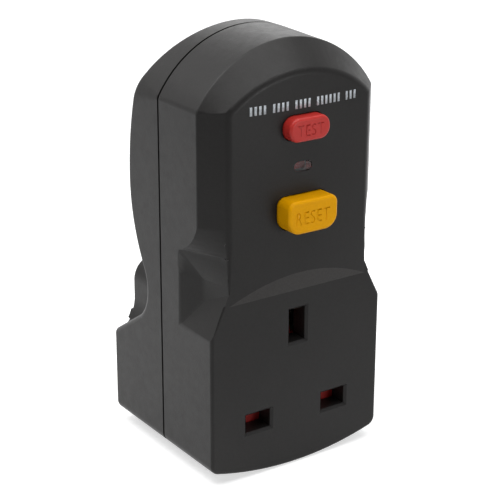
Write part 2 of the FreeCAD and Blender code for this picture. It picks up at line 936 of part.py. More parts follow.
# The pin block reaches the wall, with a wing on each side of the column round the pins
low_of_all = -dim.foot_drop - dim.wall
block_form = common(
    loft(new_body("BlockForm"), "XZ", [
        (0, shell_outline(0, dim.crown_top, dim.crown_corner, dim.foot_corner)),
        (seam_rear, shell_outline(0, dim.crown_top, dim.crown_corner, dim.foot_corner))]),
    pad(new_body("BlockSlice"), "YZ", -half_width, half_width,
        block_profile(0, 0, low_of_all)))
flare = dim.base_flare
flare_out = dim.base_half + dim.base_flare_run
flare_left = flare - dim.base_flare_run
flare_low = dim.base_flare_top - root(flare * flare - flare_left * flare_left)
shoulder = dim.base_top - dim.base_corner
shoulder_half = dim.base_half - dim.base_corner
column = pad(new_body("PinBase"), "XZ", 0, seam_rear, [
    (-flare_out, 0), (flare_out, 0), (flare_out, flare_low),
    (dim.base_half, dim.base_flare_top, -flare), (dim.base_half, shoulder),
    (shoulder_half, dim.base_top, dim.base_corner), (-shoulder_half, dim.base_top),
    (-dim.base_half, shoulder, dim.base_corner), (-dim.base_half, dim.base_flare_top),
    (-flare_out, flare_low, -flare)])
rear_outer = fuse(bulge, block_form, column)


def on_back_rim(edge):
    """The rim round the back, from the wings beside the pins up over the crown."""
    bounds = edge.BoundBox
    return bounds.YMin > (seam_rear + 1).value and bounds.ZMin > dim.wing_low.value - 0.02 \
        and bounds.ZMax - bounds.ZMin > 2 and bounds.YMax - bounds.YMin > 1 and \
        max(-bounds.XMin, bounds.XMax) > half_width.value - 3


rear_smooth = rounded(rear_outer, dim.back_round, on_back_rim)
rear_based = rounded(rear_smooth, dim.base_round, lambda edge: flat_at(edge, "Y", 0))

# Rear shell, the room inside
base_in = -dim.base_wall
seam_outline = shell_outline(dim.wall, dim.crown_top, dim.crown_corner, dim.foot_corner)
back_room = common(
    loft(new_body("BackRoom"), "XZ", [
        (-dim.back_stand + dim.wall / 2, shell_outline(
            dim.wall, dim.crown_top, dim.back_corner - dim.wall, dim.foot_corner)),
        (seam_rear, seam_outline)]),
    pad(new_body("BackRoomSlice"), "YZ", -half_width, half_width, back_profile(dim.wall)))
block_room = common(
    pad(new_body("BlockRoom"), "XZ", base_in, seam_rear, seam_outline),
    pad(new_body("BlockRoomSlice"), "YZ", -half_width, half_width,
        block_profile(dim.wall, base_in, low_of_all)))
column_in = dim.base_half - dim.wall
room_corner = dim.base_corner - dim.wall
column_room = pad(new_body("PinRoom"), "XZ", base_in, seam_rear, [
    (-column_in, 0), (column_in, 0), (column_in, shoulder),
    (column_in - room_corner, shoulder + room_corner, room_corner),
    (room_corner - column_in, shoulder + room_corner), (-column_in, shoulder, room_corner)])
tongue_end = seam_front - dim.lip_reach + dim.seam_gap / 2
seam_room = pad(new_body("SeamRoom"), "XZ", seam_rear, tongue_end - 1, seam_outline)
rear_room = fuse(back_room, block_room, column_room, seam_room)

# Rear shell: the tongue for the seam, screw towers, posts and the pin slots
tongue_out = dim.wall - dim.lip_thickness
tongue = cut(
    pad(new_body("Tongue"), "XZ", seam_rear, tongue_end, shell_outline(
        tongue_out, dim.crown_top, dim.crown_corner, dim.foot_corner - tongue_out)),
    *[rod("Y", (x * side, z), tongue_end - 1, seam_rear, dim.boss_radius + dim.lip_play)
      for x, z in screw_spots for side in (-1, 1)])
rear_hollow = cut(fuse(rear_based, tongue), rear_room)
tower_radius = dim.screw_head_radius + dim.screw_play + dim.slot_wall
head_seat = seam_rear + dim.wall
towers = []
for x, z in screw_spots:
    for side in (-1, 1):
        towers.append(rod("Y", (x * side, z), seam_rear, 0, tower_radius))
for side in (-1, 1):
    towers.append(rod("Y", (dim.pillar_x * side, dim.pillar_z), tray_back, 0,
                      dim.pillar_radius))
    towers.append(rod("Y", (dim.board_post_x * side, dim.board_post_z), -dim.board_back, 0,
                      dim.boss_radius - dim.slot_wall / 2))
    towers.append(rod("Y", (dim.board_post_x * side, dim.board_low + dim.boss_radius),
                      -dim.board_back, 0, dim.boss_radius - dim.slot_wall / 2))
towers_kept = common(fuse(*towers), rear_smooth)
holes = []
for x, z in screw_spots:
    for side in (-1, 1):
        holes.append(rod("Y", (x * side, z), seam_rear - 1, 0, dim.screw_radius + dim.screw_play))
        holes.append(rod("Y", (x * side, z), head_seat, 1,
                         dim.screw_head_radius + dim.screw_play))
for side in (-1, 1):
    holes.append(rod("Y", (dim.board_post_x * side, dim.board_post_z),
                     -dim.board_back - 1, -dim.board_back + dim.board_screw_reach,
                     dim.board_screw_radius))
play = dim.pin_play
line_half = (dim.line_pin_width / 2 + play, dim.line_pin_thickness / 2 + play)
earth_half = (dim.earth_pin_thickness / 2 + play, dim.earth_pin_height / 2 + play)
for x, z, half in ((-half_pitch, 0, line_half), (half_pitch, 0, line_half),
                   (0, earth_height, earth_half)):
    holes.append(box((x - half[0], base_in - 1, z - half[1]), (x + half[0], 1, z + half[1])))
node("rear_housing", cut(fuse(rear_hollow, towers_kept), *holes))

# Screws that hold the two shells together, driven from the back
screw_tip = pilot_end + dim.wall
screws = []
for x, z in screw_spots:
    for side in (-1, 1):
        shank = rod("Y", (x * side, z), screw_tip, head_seat + dim.screw_head / 2,
                    dim.screw_radius - dim.pin_play)
        head = rod("Y", (x * side, z), head_seat, head_seat + dim.screw_head,
                   dim.screw_head_radius)
        recess = dim.screw_radius * 0.8
        slit = dim.strip_thickness / 2
        cross = fuse(
            box((x * side - recess, head_seat + dim.screw_head / 2, z - slit),
                (x * side + recess, head_seat + dim.screw_head * 2, z + slit)),
            box((x * side - slit, head_seat + dim.screw_head / 2, z - recess),
                (x * side + slit, head_seat + dim.screw_head * 2, z + recess)))
        screws.append(cut(fuse(shank, head), cross))
node("housing_screws", fuse(*screws))

# Plug pins: tapered tip, flange inside the base wall and a tail for its wire
flange_end = base_in - dim.pin_flange
tail_end = flange_end - dim.pin_tail
margin = dim.pin_flange_margin


def pin(name, x, z, half_wide, half_tall, reach, sleeved):
    """A flat pin along Y; a sleeved one is thinner by the sleeve beside the wall."""
    tip = dim.tip_taper
    body = pad(new_body(name), "XZ", flange_end, base_in,
               slot_outline(x, z, half_wide + margin, half_tall + margin))
    pad(body, "XZ", tail_end, flange_end, slot_outline(x, z, half_wide / 2, half_tall / 2))
    if sleeved:
        pad(body, "XZ", base_in, 0, slot_outline(x, z, half_wide, half_tall))
        pad(body, "XZ", 0, dim.sleeve_length, slot_outline(
            x, z, half_wide - dim.sleeve_thickness, half_tall - dim.sleeve_thickness))
    bare = dim.sleeve_length if sleeved else base_in
    pad(body, "XZ", bare, reach - tip, slot_outline(x, z, half_wide, half_tall))
    loft(body, "XZ", [
        (reach - tip, slot_outline(x, z, half_wide, half_tall)),
        (reach, slot_outline(x, z, half_wide - tip / 2, half_tall - tip / 2))])
    past_sleeve = (dim.sleeve_length + 1).value
    round_body(body, dim.pin_round, lambda edge: edge.BoundBox.YMax > past_sleeve and
               edge.BoundBox.YMax - edge.BoundBox.YMin > 3)
    return node(name, body)


line_wide = dim.line_pin_width / 2
line_tall = dim.line_pin_thickness / 2
pin("live_pin", half_pitch, 0, line_wide, line_tall, dim.line_pin_reach, True)
pin("neutral_pin", -half_pitch, 0, line_wide, line_tall, dim.line_pin_reach, True)
pin("earth_pin", 0, earth_height, dim.earth_pin_thickness / 2, dim.earth_pin_height / 2,
    dim.earth_pin_reach, False)
for name, side in (("live_sleeve", 1), ("neutral_sleeve", -1)):
    x = half_pitch * side
    thin = dim.sleeve_thickness
    sleeve = pad(new_body(name), "XZ", 0, dim.sleeve_length,
                 slot_outline(x, 0, line_wide, line_tall))
    round_body(sleeve, dim.pin_round, lambda edge: edge.BoundBox.YMax -
               edge.BoundBox.YMin > 3)
    core = box((x - line_wide + thin, -1, -line_tall + thin),
               (x + line_wide - thin, dim.sleeve_length + 1, line_tall - thin))
    node(name, cut(sleeve, core))

# Tray between the shells that carries the socket contacts and the transformer
low_notch = [rod("Y", (dim.low_screw_x * side, dim.low_screw_z), tray_front - 1,
                 tray_back + 1, tower_radius + dim.running_play) for side in (-1, 1)]
tray_plate = common(
    pad(new_body("TrayPlate"), "XZ", tray_front, tray_back, shell_outline(
        dim.wall + dim.running_play, dim.crown_top, dim.crown_corner, dim.foot_corner)),
    box((-half_width, tray_front, -dim.foot_drop), (half_width, tray_back, dim.tray_top)))
shelf_top = dim.core_low - dim.winding
shelf_back = -dim.core_depth + dim.core_outer - dim.slot_wall
cheek = dim.core_outer + dim.winding + dim.running_play
shelf_plate = cut(
    box((-cheek - dim.slot_wall, tray_back - 0.5, shelf_top - dim.slot_wall),
        (cheek + dim.slot_wall, shelf_back, shelf_top)),
    rod("Z", (0, -dim.core_depth), shelf_top - dim.wall, shelf_top + 1, dim.core_inner))
cheeks = [box((cheek * side - dim.slot_wall * (side < 0), tray_back - 0.5, shelf_top - 1),
              (cheek * side + dim.slot_wall * (side > 0), -dim.core_depth, shelf_top +
               dim.core_height / 2)) for side in (-1, 1)]
strap_hole = box((-dim.strap_half - dim.running_play, tray_front - 1,
                  dim.strap_low - dim.running_play),
                 (dim.strap_half + dim.running_play, tray_back + 1,
                  dim.strap_low + 2 * dim.strap_half + dim.running_play))
node("inner_tray", cut(fuse(tray_plate, shelf_plate, *cheeks), *low_notch, strap_hole))

# Socket contacts: a web seated on the tray and two spring leaves for each pin
strip = dim.strip_thickness
leaf_tip = shutter_back + dim.running_play
web_front = tray_front - strip


def line_contact(name, side):
    x = half_pitch * side
    half = dim.line_jaw_width / 2
    gap = dim.jaw_gap / 2
    body = pad(new_body(name), "YZ", x - half, x + half, [
        (tray_front, -gap - strip), (tray_front, gap + strip),
        (leaf_tip + 2, gap + strip), (leaf_tip, gap + strip + dim.tip_play),
        (leaf_tip, gap + dim.tip_play), (leaf_tip + 2, gap), (web_front, gap),
        (web_front, -gap), (leaf_tip + 2, -gap), (leaf_tip, -gap - dim.tip_play),
        (leaf_tip, -gap - strip - dim.tip_play), (leaf_tip + 2, -gap - strip)])
    return node(name, body)


line_contact("live_socket_contact", 1)
line_contact("neutral_socket_contact", -1)
gap = dim.jaw_gap / 2
earth_low = earth_height - dim.earth_jaw_height / 2
earth_jaw = pad(new_body("EarthJaw"), "XY", earth_low, earth_low + dim.earth_jaw_height, [
    (-gap - strip, tray_front), (gap + strip, tray_front), (gap + strip, leaf_tip + 3),
    (gap + strip + dim.tip_play, leaf_tip + 1), (gap + dim.tip_play, leaf_tip + 1),
    (gap, leaf_tip + 3), (gap, web_front), (-gap, web_front), (-gap, leaf_tip + 3),
    (-gap - dim.tip_play, leaf_tip + 1), (-gap - strip - dim.tip_play, leaf_tip + 1),
    (-gap - strip, leaf_tip + 3)])
node("earth_socket_contact", earth_jaw)
strap = box((-dim.strap_half, web_front, dim.strap_low),
            (dim.strap_half, tail_end + dim.pin_tail / 2, dim.strap_low + 2 * dim.strap_half))
node("earth_strap", cut(strap, earth_jaw, NODES["earth_pin"]))

# Red shutter behind the slots, and its spring
arm = dim.line_slot_height / 2 + dim.shutter_cover
arm_half = half_pitch + dim.line_slot_width / 2 + dim.shutter_cover
stem_half = dim.shutter_stem / 2
ramp_top = earth_height - dim.earth_slot_height / 2 + dim.shutter_travel
shutter = pad(new_body("Shutter"), "XZ", shutter_front, shutter_back, [
    (-arm_half, -arm), (arm_half, -arm), (arm_half, arm), (stem_half, arm),
    (stem_half, ramp_top - dim.shutter_travel), (-stem_half, ramp_top - dim.shutter_travel),
    (-stem_half, arm), (-arm_half, arm)])
pad(shutter, "YZ", -dim.ramp_half, dim.ramp_half, [
    (shutter_front, ramp_top - dim.shutter_travel - 1),
    (shutter_back, ramp_top - dim.shutter_travel - 1),
    (shutter_front + dim.ramp_depth, ramp_top),
    (shutter_front + dim.ramp_depth - strip, ramp_top),
    (shutter_front, ramp_top - dim.shutter_travel)])
node("shutter", shutter)


def coil(name, axis, centre, start, end, mean_radius, wire_radius, turns):
    """A coil spring along one axis, with its wire inside the two end places."""
    wire = sized(wire_radius).value
    low = min(sized(start).value, sized(end).value) + wire
    span = abs(sized(end).value - sized(start).value) - 2 * wire
    radius = sized(mean_radius).value
    helix = Part.makeHelix(span / turns, span, radius)
    corners = [Vector(radius + wire * math.cos(math.radians(turn)), 0,
                      wire * math.sin(math.radians(turn))) for turn in range(0, 360, 60)]
    ring = Part.makePolygon(corners + corners[:1])
    shape = Part.Wire(helix.Edges).makePipeShell([ring], True, True)
    others = iter(centre)
    places = [low if letter == axis else sized(next(others)).value for letter in "XYZ"]
    thing = doc.addObject("Part::Feature", "Coil")
    thing.Shape = shape
    thing.Placement = Placement(Vector(*places), TURNS[axis])
    return node(name, thing)


shutter_stop = well_low
coil("shutter_spring", "Z", (0, (shutter_front + shutter_back) / 2),
     shutter_stop, -arm, dim.coil_wire * 2, dim.coil_wire * 0.6, 5)

# Test and reset buttons and the window


def button(name, outline, reach, stem):
    """A cap through the panel, a flange behind it and a stem."""
    flange_front = face_in + dim.running_play
    flange_back = flange_front + dim.flange_thickness
    body = pad(new_body(name), "XZ", flange_front, front - dim.panel_bow - reach,
               button_outline(0, *outline))
    face = (front - dim.panel_bow - reach).value
    round_body(body, dim.button_round, lambda edge: flat_at(edge, "Y", face))
    pad(body, "XZ", flange_front, flange_back, button_outline(dim.button_flange, *outline))
    stem(body, flange_back)
    return node(name, body)


test_stem_low = dim.test_height - dim.test_stem / 3
button("test_button", TEST, dim.test_proud, lambda body, place: pad(
    body, "XZ", place, -dim.test_stem_end, rectangle(
        -dim.test_stem, test_stem_low, dim.test_stem, test_stem_low + dim.test_stem)))
button("reset_button", RESET, dim.reset_proud, lambda body, place: pad(
    body, "XZ", place, -dim.stem_end, circles=[(0, stem_height, dim.stem_radius)]))
coil("reset_spring", "Y", (0, stem_height), -dim.frame_front,
     face_in + dim.running_play + dim.flange_thickness,
     dim.stem_radius + dim.coil_wire * 2, dim.coil_wire, 4)
lens = pad(new_body("Lens"), "XZ", face_in, front - dim.panel_bow + dim.lens_set_back,
           window_outline(0))
pad(lens, "XZ", face_in, face_in + dim.lens_thickness, window_outline(dim.lens_flange))
node("indicator_lens", lens)

# Circuit board and what is soldered to it
board_face = -dim.board_front
board_rear = -dim.board_back
board_half = dim.board_width / 2
board_holes = [rod("Y", (dim.board_post_x * side, dim.board_post_z), board_face - 1,
                   board_rear + 1, dim.board_screw_radius + dim.lip_play)
               for side in (-1, 1)]
board = cut(box((-board_half, board_face, dim.board_low),
                (board_half, board_rear, dim.board_top)), *board_holes)
node("circuit_board", board)
node("board_screws", fuse(*[fuse(
    rod("Y", (dim.board_post_x * side, dim.board_post_z), board_face - dim.flange_thickness,
        board_face, dim.board_screw_radius * 1.8),
    rod("Y", (dim.board_post_x * side, dim.board_post_z), board_face - dim.flange_thickness,
        board_rear + dim.board_screw_reach - dim.wall / 4,
        dim.board_screw_radius - dim.pin_play)) for side in (-1, 1)]))

# Frame of the trip mechanism on four legs, with the ears for the flag
frame_face = -dim.frame_front
frame_back = frame_face + dim.frame_plate
post_x = dim.frame_width / 2 - dim.post_radius - 0.1
post_low = dim.frame_low + dim.post_radius
post_high = dim.frame_top - dim.post_radius - 0.1
ear_inner = dim.flag_half + dim.running_play
ear_low = dim.flag_axis_z - dim.post_radius
legs = [rod("Y", (post_x * side, z), frame_face + 0.2, board_face, dim.post_radius)
        for side in (-1, 1) for z in (post_low, post_high)]
ears = []
for side in (-1, 1):
    a = ear_inner * side
    b = (ear_inner + dim.flange_thickness) * side
    lower, upper = (a, b) if side > 0 else (b, a)
    ears.append(box((lower, -dim.flag_axis_y - dim.post_radius, ear_low),
                    (upper, frame_face + 0.2, dim.frame_top)))
frame_solid = fuse(box((-dim.frame_width / 2, frame_face, dim.frame_low),
                       (dim.frame_width / 2, frame_back, dim.frame_top)), *legs, *ears)
node("mechanism_frame", cut(
    frame_solid,
    rod("Y", (0, stem_height), frame_face - 1, frame_back + 1,
        dim.stem_radius + dim.running_play),
    rod("X", (-dim.flag_axis_y, dim.flag_axis_z), -dim.frame_width, dim.frame_width,
        dim.trunnion_radius + dim.pin_play * 2)))
flag = fuse(
    rod("X", (-dim.flag_axis_y, dim.flag_axis_z), -dim.flag_half, dim.flag_half,
        dim.trunnion_radius * 1.5),
    rod("X", (-dim.flag_axis_y, dim.flag_axis_z), -ear_inner - dim.flange_thickness,
        ear_inner + dim.flange_thickness, dim.trunnion_radius),
    box((-dim.flag_half, face_in + dim.flag_gap, dim.flag_axis_z),
        (dim.flag_half, face_in + dim.flag_gap + dim.flange_thickness, dim.flag_top)),
    box((-dim.flag_half, face_in + dim.flag_gap, dim.flag_axis_z),
        (dim.flag_half, -dim.flag_axis_y, dim.flag_axis_z + dim.trunnion_radius)))
node("indicator_flag", flag)

# Carrier of the moving contacts, its spring and the contact blades
carrier_face = -dim.carrier_front
carrier_back = carrier_face + dim.carrier_thickness
carrier_half = post_x - dim.post_radius - dim.running_play
carrier = pad(new_body("Carrier"), "XZ", carrier_face, carrier_back,
              rectangle(-carrier_half, dim.carrier_low, carrier_half, dim.carrier_top))
pocket(carrier, "XZ", carrier_face, carrier_back, circles=[
    (0, stem_height, dim.stem_radius + 2 * dim.running_play)])
node("contact_carrier", carrier)
coil("trip_spring", "Y", (0, dim.carrier_low + 2 * dim.coil_wire + 1), carrier_back, board_face,
     dim.stem_radius * 0.6, dim.coil_wire, 5)
blade_low = stem_height - dim.blade_width / 2
blade_out = dim.contact_reach + dim.contact_radius + dim.running_play
moving = []
fixed = []
for side in (-1, 1):
    a, b = sorted((dim.blade_inner * side, blade_out * side), key=lambda amount: amount.value)
    moving.append(box((a, carrier_back, blade_low),
                      (b, carrier_back + strip, blade_low + dim.blade_width)))
    moving.append(rod("Y", (dim.contact_reach * side, stem_height), carrier_back + strip / 2,
                      carrier_back + strip + dim.contact_height, dim.contact_radius))
    rivet = carrier_back + strip + dim.contact_height + dim.running_play
    fixed.append(rod("Y", (dim.contact_reach * side, stem_height), rivet,
                     rivet + dim.contact_height, dim.contact_radius))
    a, b = sorted((dim.terminal_inner * side, dim.terminal_outer * side),
                  key=lambda amount: amount.value)
    fixed.append(box((a, rivet + dim.contact_height, blade_low),
                     (b, rivet + dim.contact_height + strip, blade_low + dim.blade_width)))
    a, b = sorted(((dim.terminal_outer - strip) * side, dim.terminal_outer * side),
                  key=lambda amount: amount.value)
    fixed.append(box((a, rivet + dim.contact_height, blade_low),
                     (b, board_face, blade_low + dim.blade_width)))
node("moving_contacts", fuse(*moving))
node("fixed_contacts", fuse(*fixed))

# Latch plate on the plunger of the solenoid that trips it
latch_face = -dim.latch_depth
latch = dim.latch_thickness
plunger_y = -dim.plunger_depth
plunger_z = dim.plunger_height
stop_x = dim.latch_arm
latch_plate = fuse(
    cut(box((-dim.latch_half, latch_face, dim.carrier_low + 4),
            (dim.latch_half, latch_face + latch, plunger_z - dim.coil_radius - 1)),
        rod("Y", (-1, stem_height), latch_face - 1, latch_face + latch + 1,
            dim.stem_radius + 2 * dim.running_play)),
    box((dim.latch_half - 1, latch_face, plunger_z - dim.coil_radius - 2),
        (stop_x, latch_face + latch, plunger_z - dim.coil_radius - 1)),
    box((stop_x - latch, latch_face, plunger_z - dim.coil_radius - 2),
        (stop_x, plunger_y + dim.latch_half / 2, plunger_z + dim.latch_half / 2)))
node("latch_plate", latch_plate)
node("solenoid_plunger", rod("X", (plunger_y, plunger_z), -dim.plunger_back,
                             stop_x - latch, dim.plunger_radius))
bracket_front = plunger_y - dim.coil_radius - 0.5
arm_low = plunger_z - dim.coil_radius
arm_high = plunger_z + dim.coil_radius
bracket = fuse(
    box((-dim.bracket_left, board_face - latch, arm_low), (dim.bracket_right, board_face, arm_high)),
    box((-dim.bracket_left, bracket_front, arm_low),
        (-dim.bracket_left + latch, board_face, arm_high)),
    box((0, bracket_front, arm_low), (latch, board_face, arm_high)))
node("solenoid_frame", cut(bracket, rod(
    "X", (plunger_y, plunger_z), -1, 2, dim.plunger_radius + dim.running_play)))
bobbin_left = -dim.bracket_left + latch
bobbin = fuse(
    rod("X", (plunger_y, plunger_z), bobbin_left, 0, dim.plunger_radius + dim.running_play + 0.5),
    rod("X", (plunger_y, plunger_z), bobbin_left, bobbin_left + 0.6, dim.coil_radius),
    rod("X", (plunger_y, plunger_z), -0.6, 0, dim.coil_radius))
bore = rod("X", (plunger_y, plunger_z), bobbin_left - 1, 1, dim.plunger_radius + dim.running_play)
node("solenoid_bobbin", cut(bobbin, bore))
node("solenoid_coil", cut(
    rod("X", (plunger_y, plunger_z), bobbin_left + 0.6, -0.6, dim.coil_radius - 0.4),
    rod("X", (plunger_y, plunger_z), bobbin_left, 0,
        dim.plunger_radius + dim.running_play + 0.5)))
coil("latch_spring", "X", (plunger_y, plunger_z), latch, stop_x - latch,
     dim.plunger_radius + dim.coil_wire * 2, dim.coil_wire, 4)

# Test circuit
leaf_foot = -dim.test_leaf_foot
leaf_face = -dim.test_stem_end + dim.running_play
leaf = pad(new_body("TestLeaf"), "XY", test_stem_low + 0.3, test_stem_low + dim.test_stem - 0.3, [
    (leaf_foot, board_face), (leaf_foot, board_face - 0.4), (leaf_foot + 2, board_face - 0.4),
    (-dim.test_stem, leaf_face), (dim.test_stem, leaf_face), (dim.test_stem, leaf_face + 0.4),
    (-dim.test_stem + 0.3, leaf_face + 0.4), (leaf_foot + 2.3, board_face)])
node("test_leaf", leaf)
resistor_end = -dim.resistor_inner
node("test_resistor", rod(
    "X", (board_rear + dim.resistor_radius, dim.resistor_height),
    resistor_end - dim.resistor_length, resistor_end, dim.resistor_radius))
capacitor_end = -dim.capacitor_inner
node("storage_capacitor", box(
    (capacitor_end - dim.capacitor_length, board_rear, dim.capacitor_low),
    (capacitor_end, board_rear + dim.capacitor_depth, dim.capacitor_low + dim.capacitor_tall)))
node("surge_absorber", rod("Y", (dim.absorber_x, dim.absorber_height), board_rear,
                           board_rear + dim.absorber_thickness, dim.absorber_radius))
chip_end = -dim.chip_inner
node("control_chip", box(
    (chip_end - dim.chip_width, board_face - dim.chip_thickness, dim.chip_low),
    (chip_end, board_face, dim.chip_low + dim.chip_length)))

# Transformer that senses the leakage current, and the wires through it
core_ring = cut(
    rod("Z", (0, -dim.core_depth), dim.core_low, dim.core_low + dim.core_height,
        dim.core_outer),
    rod("Z", (0, -dim.core_depth), dim.core_low - 1, dim.core_low + dim.core_height + 1,
        dim.core_inner))
node("transformer_core", core_ring)
wind = dim.winding
sector = pad(new_body("WindingSector"), "XY", dim.core_low - wind,
             dim.core_low + dim.core_height + wind, [
    (-dim.core_outer, -dim.core_depth), (dim.core_outer, -dim.core_depth),
    (dim.core_outer, -dim.core_depth + dim.core_outer + 2),
    (-dim.core_outer, -dim.core_depth + dim.core_outer + 2)])
winding_ring = cut(
    rod("Z", (0, -dim.core_depth), dim.core_low - wind, dim.core_low + dim.core_height + wind,
        dim.core_outer + wind),
    rod("Z", (0, -dim.core_depth), dim.core_low - 1, dim.core_low + dim.core_height + 1,
        dim.core_inner - wind), core_ring)
node("sensing_winding", common(winding_ring, sector))


def cable(name, *runs):
    """Round wires through the given corners."""
    thing = doc.addObject("Part::Feature", "Wire")
    radius = dim.lead_radius.value
    solids = []
    for corners in runs:
        spots = [spot(corner) for corner in corners]
        path = Part.makePolygon(spots)
        ring = Part.Wire([Part.makeCircle(radius, spots[0], spots[1] - spots[0])])
        solids.append(path.makePipeShell([ring], True, False, 2))
    thing.Shape = solids[0] if len(solids) == 1 else Part.makeCompound(solids)
    return node(name, thing)


# The leads' corners are chosen by hand, clear of the ring, the tray and the board's parts
for name, side in (("live_lead", 1), ("neutral_lead", -1)):
    cable(name, [
        (half_pitch * side, tail_end, 0), (half_pitch * side, tail_end - 3.5, 0),
        (1.5 * side, -dim.core_depth, 0), (1.5 * side, -dim.core_depth, 14),
        (4 * side, -15, 19), (4 * side, -21, 26), (4 * side, -21, 33),
        (4 * side, board_rear + 1.4, 37), (4 * side, board_rear + 0.9, 41),
        (4 * side, board_rear + 0.9, 44)])
    x = half_pitch * side
    wide = dim.post_radius
    node(name.replace("lead", "link"), fuse(
        box((x - wide, web_front, dim.jaw_gap / 2 + strip), (x + wide, tray_front,
                                                          dim.board_low)),
        box((x - wide, web_front, dim.board_low - strip), (x + wide, board_face,
                                                         dim.board_low)),
        box((x - wide, board_face - strip, dim.board_low - strip),
            (x + wide, board_face, dim.board_low + 3))))

# Checks and export
doc.recompute()
for thing in doc.Objects:
    if "Invalid" in thing.State or "Error" in thing.State:
        raise RuntimeError("%s did not build" % thing.Label)
for name, thing in NODES.items():
    if thing.Shape.isNull() or not thing.Shape.isValid() or not thing.Shape.Solids:
        raise RuntimeError("%s has no sound solid" % name)
os.makedirs("parts", exist_ok=True)
for name, thing in NODES.items():
    thing.Shape.exportStep("parts/%s.step" % name)
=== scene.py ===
import math
import bmesh
import bpy
from mathutils import Matrix, Vector


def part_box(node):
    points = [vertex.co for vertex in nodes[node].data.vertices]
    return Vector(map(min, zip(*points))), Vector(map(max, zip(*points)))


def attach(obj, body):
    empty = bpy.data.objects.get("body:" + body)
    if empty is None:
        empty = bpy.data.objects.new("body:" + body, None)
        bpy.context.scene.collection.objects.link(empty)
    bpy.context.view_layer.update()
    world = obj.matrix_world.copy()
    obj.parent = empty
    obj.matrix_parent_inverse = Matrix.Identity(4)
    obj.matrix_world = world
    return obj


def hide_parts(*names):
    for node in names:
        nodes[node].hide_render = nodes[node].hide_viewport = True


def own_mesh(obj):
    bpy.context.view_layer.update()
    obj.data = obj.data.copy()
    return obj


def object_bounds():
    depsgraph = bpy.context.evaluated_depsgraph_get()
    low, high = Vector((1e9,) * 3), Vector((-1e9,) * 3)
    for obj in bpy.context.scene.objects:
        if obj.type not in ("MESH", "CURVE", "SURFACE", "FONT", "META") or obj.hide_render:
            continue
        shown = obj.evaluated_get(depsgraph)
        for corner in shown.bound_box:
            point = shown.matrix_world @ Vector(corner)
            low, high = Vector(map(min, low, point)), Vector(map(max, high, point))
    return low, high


# Plug-in residual current adapter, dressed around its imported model. Lengths are in metres,
# X runs right, Y back into the wall and Z up, from the flat back between the line pins.

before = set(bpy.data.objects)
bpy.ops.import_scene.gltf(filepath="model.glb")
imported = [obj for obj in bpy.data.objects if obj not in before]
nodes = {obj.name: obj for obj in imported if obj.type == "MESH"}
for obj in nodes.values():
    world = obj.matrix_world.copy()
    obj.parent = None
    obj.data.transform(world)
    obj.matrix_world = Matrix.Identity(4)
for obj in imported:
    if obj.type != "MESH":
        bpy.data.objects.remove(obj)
cad_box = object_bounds()
mm = 0.001


# Camera and studio
# The camera stands in front of the adapter, to its left and above it, with a long lens.
# Soft lamps stand above, behind, at the right and low in front, with a white backdrop behind.

scene = bpy.context.scene
scene.view_settings.view_transform = "Standard"


def shown(name, data):
    """A new object in the scene, at the origin and unturned."""
    thing = bpy.data.objects.new(name, data)
    scene.collection.objects.link(thing)
    return thing


view_from = Vector((-194.93, -306.25, 162.10)) * mm
view_turn = math.radians(34.716)
view_tip = math.radians(20.380)
view_roll = math.radians(0.2)
lens = bpy.data.cameras.new("camera")
lens.sensor_width = 36
lens.lens = 108
camera = shown("camera", lens)
camera.matrix_world = (
    Matrix.Translation(view_from) @ Matrix.Rotation(-view_turn, 4, "Z")
    @ Matrix.Rotation(math.pi / 2 - view_tip, 4, "X") @ Matrix.Rotation(view_roll, 4, "Z"))
scene.camera = camera


def put(tree, kind, place=(0, 0), **values):
    """A shader or geometry node with its settings and unlinked sockets filled in."""
    made = tree.nodes.new(kind)
    made.location = place
    for name, value in values.items():
        if hasattr(made, name):
            setattr(made, name, value)
        else:
            made.inputs[name.replace("_", " ")].default_value = value
    return made


def wire_up(tree, *wires):
    """Joins the nodes of a tree, each wire given as (node, output, node, input)."""
    for source, output, target, entry in wires:
        tree.links.new(source.outputs[output], target.inputs[entry])


def whiteness(tree, output, front, back):
    """One for the camera; gloss and clear plastic see it fade from the back to the front."""
    path = put(tree, "ShaderNodeLightPath", (-1000, 300))
    place = put(tree, "ShaderNodeTexCoord", (-1000, 0))
    split = put(tree, "ShaderNodeSeparateXYZ", (-800, 0))
    fade = put(tree, "ShaderNodeMapRange", (-600, 0), From_Min=front, From_Max=back,
               To_Min=0.2, To_Max=1.0)
    mirrored = put(tree, "ShaderNodeMath", (-600, 300), operation="MAXIMUM")
    faded = put(tree, "ShaderNodeMath", (-400, 200), operation="MULTIPLY")
    either = put(tree, "ShaderNodeMath", (-200, 200), operation="MAXIMUM")
    wire_up(tree, (place, output, split, 0), (split, "Y", fade, "Value"),
            (path, "Is Glossy Ray", mirrored, 0), (path, "Is Transmission Ray", mirrored, 1),
            (mirrored, 0, faded, 0), (fade, 0, faded, 1), (faded, 0, either, 0),
            (path, "Is Camera Ray", either, 1))
    return either


world = bpy.data.worlds.new("studio")
world.use_nodes = True
scene.world = world
sky = world.node_tree
sky.nodes.clear()
ambient = put(sky, "ShaderNodeBackground", (0, 0), Color=(0.95, 0.97, 1.0, 1), Strength=0.22)
backdrop = put(sky, "ShaderNodeBackground", (0, 200), Color=(1, 1, 1, 1), Strength=1.0)
choice = put(sky, "ShaderNodeMixShader", (200, 100))
ending = put(sky, "ShaderNodeOutputWorld", (400, 100))
wire_up(sky, (whiteness(sky, "Generated", -0.5, 0.4), 0, choice, "Fac"),
        (ambient, 0, choice, 1), (backdrop, 0, choice, 2), (choice, 0, ending, "Surface"))


